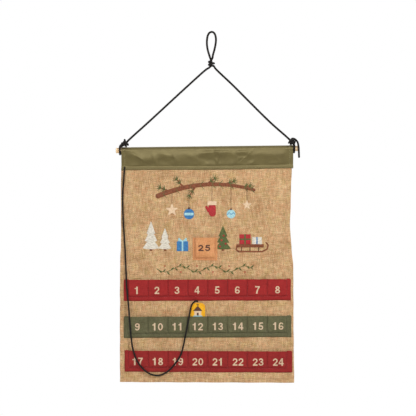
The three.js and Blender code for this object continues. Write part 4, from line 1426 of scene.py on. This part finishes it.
picture.shape("creamwork", block(207.8, 201.6, 216.4, 204.8), 90, 0.8, layer=3)
picture.disc("pale", at(231, 214), 10.5, degrees=45, layer=1)
zigzag = spots((227.2, 214.6), (229.2, 212.6), (231.2, 214.6), (233.2, 212.6), (234.9, 214.4))
picture.line("blue", zigzag, 0.9, degrees=20, layer=2, cell=0.6)
picture.shape("dark", block(230.1, 208.4, 231.9, 210.2), 0, layer=2, cell=0.6)
picture.shape("creamwork", star(at(247, 205), 11.0, 4.6), 0, 0.5, layer=1)
# Ground row: snow-laden firs, parcels, a small fir and a sled
for column, tall, wide in ((151, 27, 15.5), (165, 20, 12)):
    picture.shape("brown", block(column - 1.4, 251, column + 1.4, 247), 0)
    for step in range(3):
        low = 248 - tall * 0.27 * step
        reach = wide * (0.5 - 0.12 * step)
        skirt = [(column + reach * k, low + (abs(k) < 1)) for k in (-1, -0.4, 0.4, 1)]
        tier = spots(*skirt, (column, low - tall * 0.43))
        picture.shape("white", tier, 82 + 8 * step, 0.8, layer=1 + step)
picture.shape("blue", block(177, 251, 188, 241.5), 90, 0.6)
picture.shape("pale", block(181.6, 251.2, 183.4, 241.3), 0, layer=1, cell=0.7)
for side in (-1, 1):
    bow = spots((182.5, 241.2), (182.5 + side * 3.6, 238.2), (182.5 + side * 4.2, 240.8))
    picture.shape("pale", bow, 90, 0.9, layer=1, cell=0.7)
picture.shape("brown", block(221.7, 251, 224.3, 247), 0)
for step in range(3):
    low = 248.5 - 6.2 * step
    reach = 7.6 - 1.7 * step
    tier = spots((223 - reach, low), (223, low + 0.8), (223 + reach, low), (223, low - 10.0))
    picture.shape("greenwork", tier, 80 + 10 * step, 0.6, layer=1 + step)
for berry in spots((220, 246.5), (225.6, 243.8), (221.6, 240.2), (223.6, 235.6)):
    picture.disc("redwork", berry, 2.3, layer=5, cell=0.6)
runner = [(237, 246.0), (236.2, 249.5), (238.5, 251.6), (262, 251.6), (267, 249.2), (268.2, 245.2)]
picture.line("brown", spots(*runner, (266, 242.6)), 1.9, 1.7, degrees=35, layer=1)
picture.shape("brown", block(236.5, 244.4, 263.5, 247.2), 4, 0.5, layer=2)
for column in (241.5, 250, 258.5):
    post = spots((column, 247), (column, 251))
    picture.line("dark", post, 1.1, degrees=30, layer=1, cell=0.7)
picture.shape("redwork", block(239.5, 244, 250.5, 234.5), 90, 0.5, layer=1)
picture.shape("greenwork", block(244.1, 244, 245.9, 234.3), 0, layer=2, cell=0.7)
picture.shape("greenwork", block(239.3, 238.4, 250.7, 240.1), 90, layer=2, cell=0.7)
picture.shape("white", block(252.4, 244, 261.6, 237.2), 90, 0.5, layer=1)
picture.shape("blue", block(256.2, 244, 257.8, 237.0), 0, layer=2, cell=0.7)


def on_vine(column, swing=3.0):
    return at(column, 269 + swing * math.sin((column - 157) / 96 * TAU * 3))


# Vine with small leaves and berries under the picture
vine = [on_vine(c) for c in np.linspace(157, 253, 60)]
picture.line("greenwork", vine, 0.85, degrees=40, cell=0.6, lift=0.45, edge=0.8)
for k in range(24):
    side = 1 if k % 2 else -1
    start = on_vine(159 + k * 4.0)
    end = start + (6.2, side * 6.4)
    middle = (start + end) / 2
    for half_leaf, sizes in (([start, middle], (0.5, 1.9)), ([middle, end], (1.9, 0.5))):
        picture.line(
            "greenwork", half_leaf, *sizes, degrees=45 * side, layer=1, cell=0.6, edge=1.0
        )
for k in range(6):
    picture.disc("redwork", on_vine(165 + k * 16.0, -3.0), 1.7, layer=1, cell=0.5)
picture.close()

# The last day's number, in thin rounded strokes
number = Embroidery("last_day_number", on_last, "banner")
NUMBER_TALL, NUMBER_WIDE = 13.2, 17.5
two = arc_points(0.34, 0.68, 0.25, 0.26, 165, -35) + [(0.1, 0.06), (0.66, 0.06)]
five = [(0.6, 0.94), (0.2, 0.94), (0.14, 0.56)] + arc_points(0.34, 0.34, 0.27, 0.28, 110, -150)
for column, line in ((198.2, two), (205.0, five)):
    corner = at(column, 247.9) - (0, NUMBER_TALL / 2)
    strokes = corner + np.array(line) * (NUMBER_WIDE, NUMBER_TALL)
    number.line("dark", strokes, 1.7, degrees=40, cell=0.5, lift=0.5, edge=0.8)
number.close()

# Little house on the marker
house = Embroidery("marker_house", on_marker, "marker")
walls = [(-8, 37), (8, 37), (8, 50), (-8, 50)]
roof = [(-10.5, 49), (10.5, 49), (0.6, 59.5), (-0.6, 59.5)]
door = [(-2.2, 37.5), (2.2, 37.5), (2.2, 44.5), (-2.2, 44.5)]
snow = [(-11, 33.5), (11, 33.5), (10, 37.2), (-10, 37.2)]
house.shape("creamwork", walls, 90, 0.4, cell=0.6, edge=1.0)
house.shape("dark", roof, 60, 0.6, layer=1, cell=0.6, edge=1.0)
house.shape("dark", door, 90, 0.2, layer=1, cell=0.5, edge=0.8)
house.shape("pale", snow, 90, 0.6, layer=2, cell=0.6, edge=1.0)
house.close()


# ---------------------------------------------------------------- flat sizes of the cloth
def cut(piece, wide, long, held, rests_on, names, area=None):
    """Finds the pieces sewn on a sheet and turns its cut size from millimetres to metres; nothing
    more is done with either.
    """
    on_it = [bpy.data.objects[name] for name in names]
    size = (wide * MM, long * MM)


hems = ["panel_hem_stitches", "panel_hem_stitches_back"]
panel_cut = (PANEL_WIDTH + 2 * PANEL_HEM, PANEL_HEIGHT + PANEL_HEM)
cut(panel, *panel_cut, "hung", "satin_rod_sleeve", hems)
seams = ["sleeve_stitches", "sleeve_stitches_back"]
sleeve_cut = (2 * SLEEVE_HALF + 2 * SEAM, girth[-1] + 2 * SEAM)
cut(sleeve, *sleeve_cut, "folded", "wooden_dowel", seams)
for strip, (piece, arc) in zip(STRIPS, strip_pieces):
    sewn = [strip["name"] + "_stitches", strip["name"].replace("pockets", "numbers")]
    cut(piece, arc + STRIP_SEAM, STRIP_HEIGHT + STRIP_SEAM, "laid", "burlap_panel", sewn)
last_cut = (LAST_WIDTH + 2 * LAST_SEAM, LAST_HEIGHT + 2 * LAST_SEAM)
last_sewn = ["last_day_stitches", "last_day_number_dark"]
cut(last_pocket, *last_cut, "laid", "burlap_panel", last_sewn)
mean_width = np.mean(2 * marker_half(np.linspace(0, MARKER_TALL, 200)))
marker_area = float(mean_width * MARKER_TALL * MM * MM)
for piece, names in ((marker_back, []), (marker_front, ["marker_stitches", "marker_bar_tack"])):
    cut(piece, 2 * MARKER_HALF, MARKER_TALL, "hung", "marker_drop_cord", names, marker_area)

# ---------------------------------------------------------------- stage and light
FLOOR_Z = -1.6
FLOOR_HALF = 4
FLOOR_COLOUR = "eeece8"
corners = [(-1, -1), (1, -1), (1, 1), (-1, 1)]
floor_mesh = bpy.data.meshes.new("floor")
floor_mesh.from_pydata(
    [(x * FLOOR_HALF, y * FLOOR_HALF, FLOOR_Z) for x, y in corners], [], [(0, 1, 2, 3)]
)
floor = bpy.data.objects.new("floor", floor_mesh)
SCENE.collection.objects.link(floor)
pale = Material("pale_floor", roughness=0.9, specular=0.2)
floor_noise = pale.noise(pale.place(), 0.02)
floor_mesh.materials.append(
    pale.surface(linear(FLOOR_COLOUR), floor_noise, strength=0.05, distance=0.2)
)
# The floor glows a little for the camera alone, so it stays pale and lights nothing
pale.put(pale.bsdf, "Emission Color", linear(FLOOR_COLOUR))
pale.put(pale.bsdf, "Emission Strength", pale.out(pale.add("LightPath"), "Is Camera Ray") * 0.4)

# The sky is plain white where it is seen, and a soft dome of light everywhere else
world = bpy.data.worlds.new("studio")
SCENE.world = world
sky = Tree(world)
ray = sky.add("LightPath")
bright = sky.split(sky.out(sky.add("TexCoord"), "Generated"))[2] * 0.26 + 0.3
for kind in ("Camera", "Transmission", "Glossy"):
    bright = bright.do("MAXIMUM", sky.out(ray, f"Is {kind} Ray"))
white = sky.add("Background", Color=(1, 1, 1, 1), Strength=bright)
sky.add("OutputWorld", sky.out(white))


AIM = Vector((-0.01, 0, -0.45))  # where every lamp points


def softbox(name, place, size, watts):
    data = bpy.data.lights.new(name, "AREA")
    data.shape = "SQUARE"
    data.size = size
    data.energy = watts
    lamp = bpy.data.objects.new(name, data)
    lamp.location = place
    lamp.rotation_euler = (AIM - Vector(place)).to_track_quat("-Z", "Y").to_euler()
    SCENE.collection.objects.link(lamp)


softbox("key", (1.25, -1.85, 0.75), size=0.55, watts=26.8)
softbox("front", (-0.1, -2.7, -0.05), size=0.5, watts=17)
softbox("fill", (-2.2, -3.0, 0.8), size=1.2, watts=23)
softbox("behind", (-0.8, 3.0, 0.9), size=1.2, watts=16)
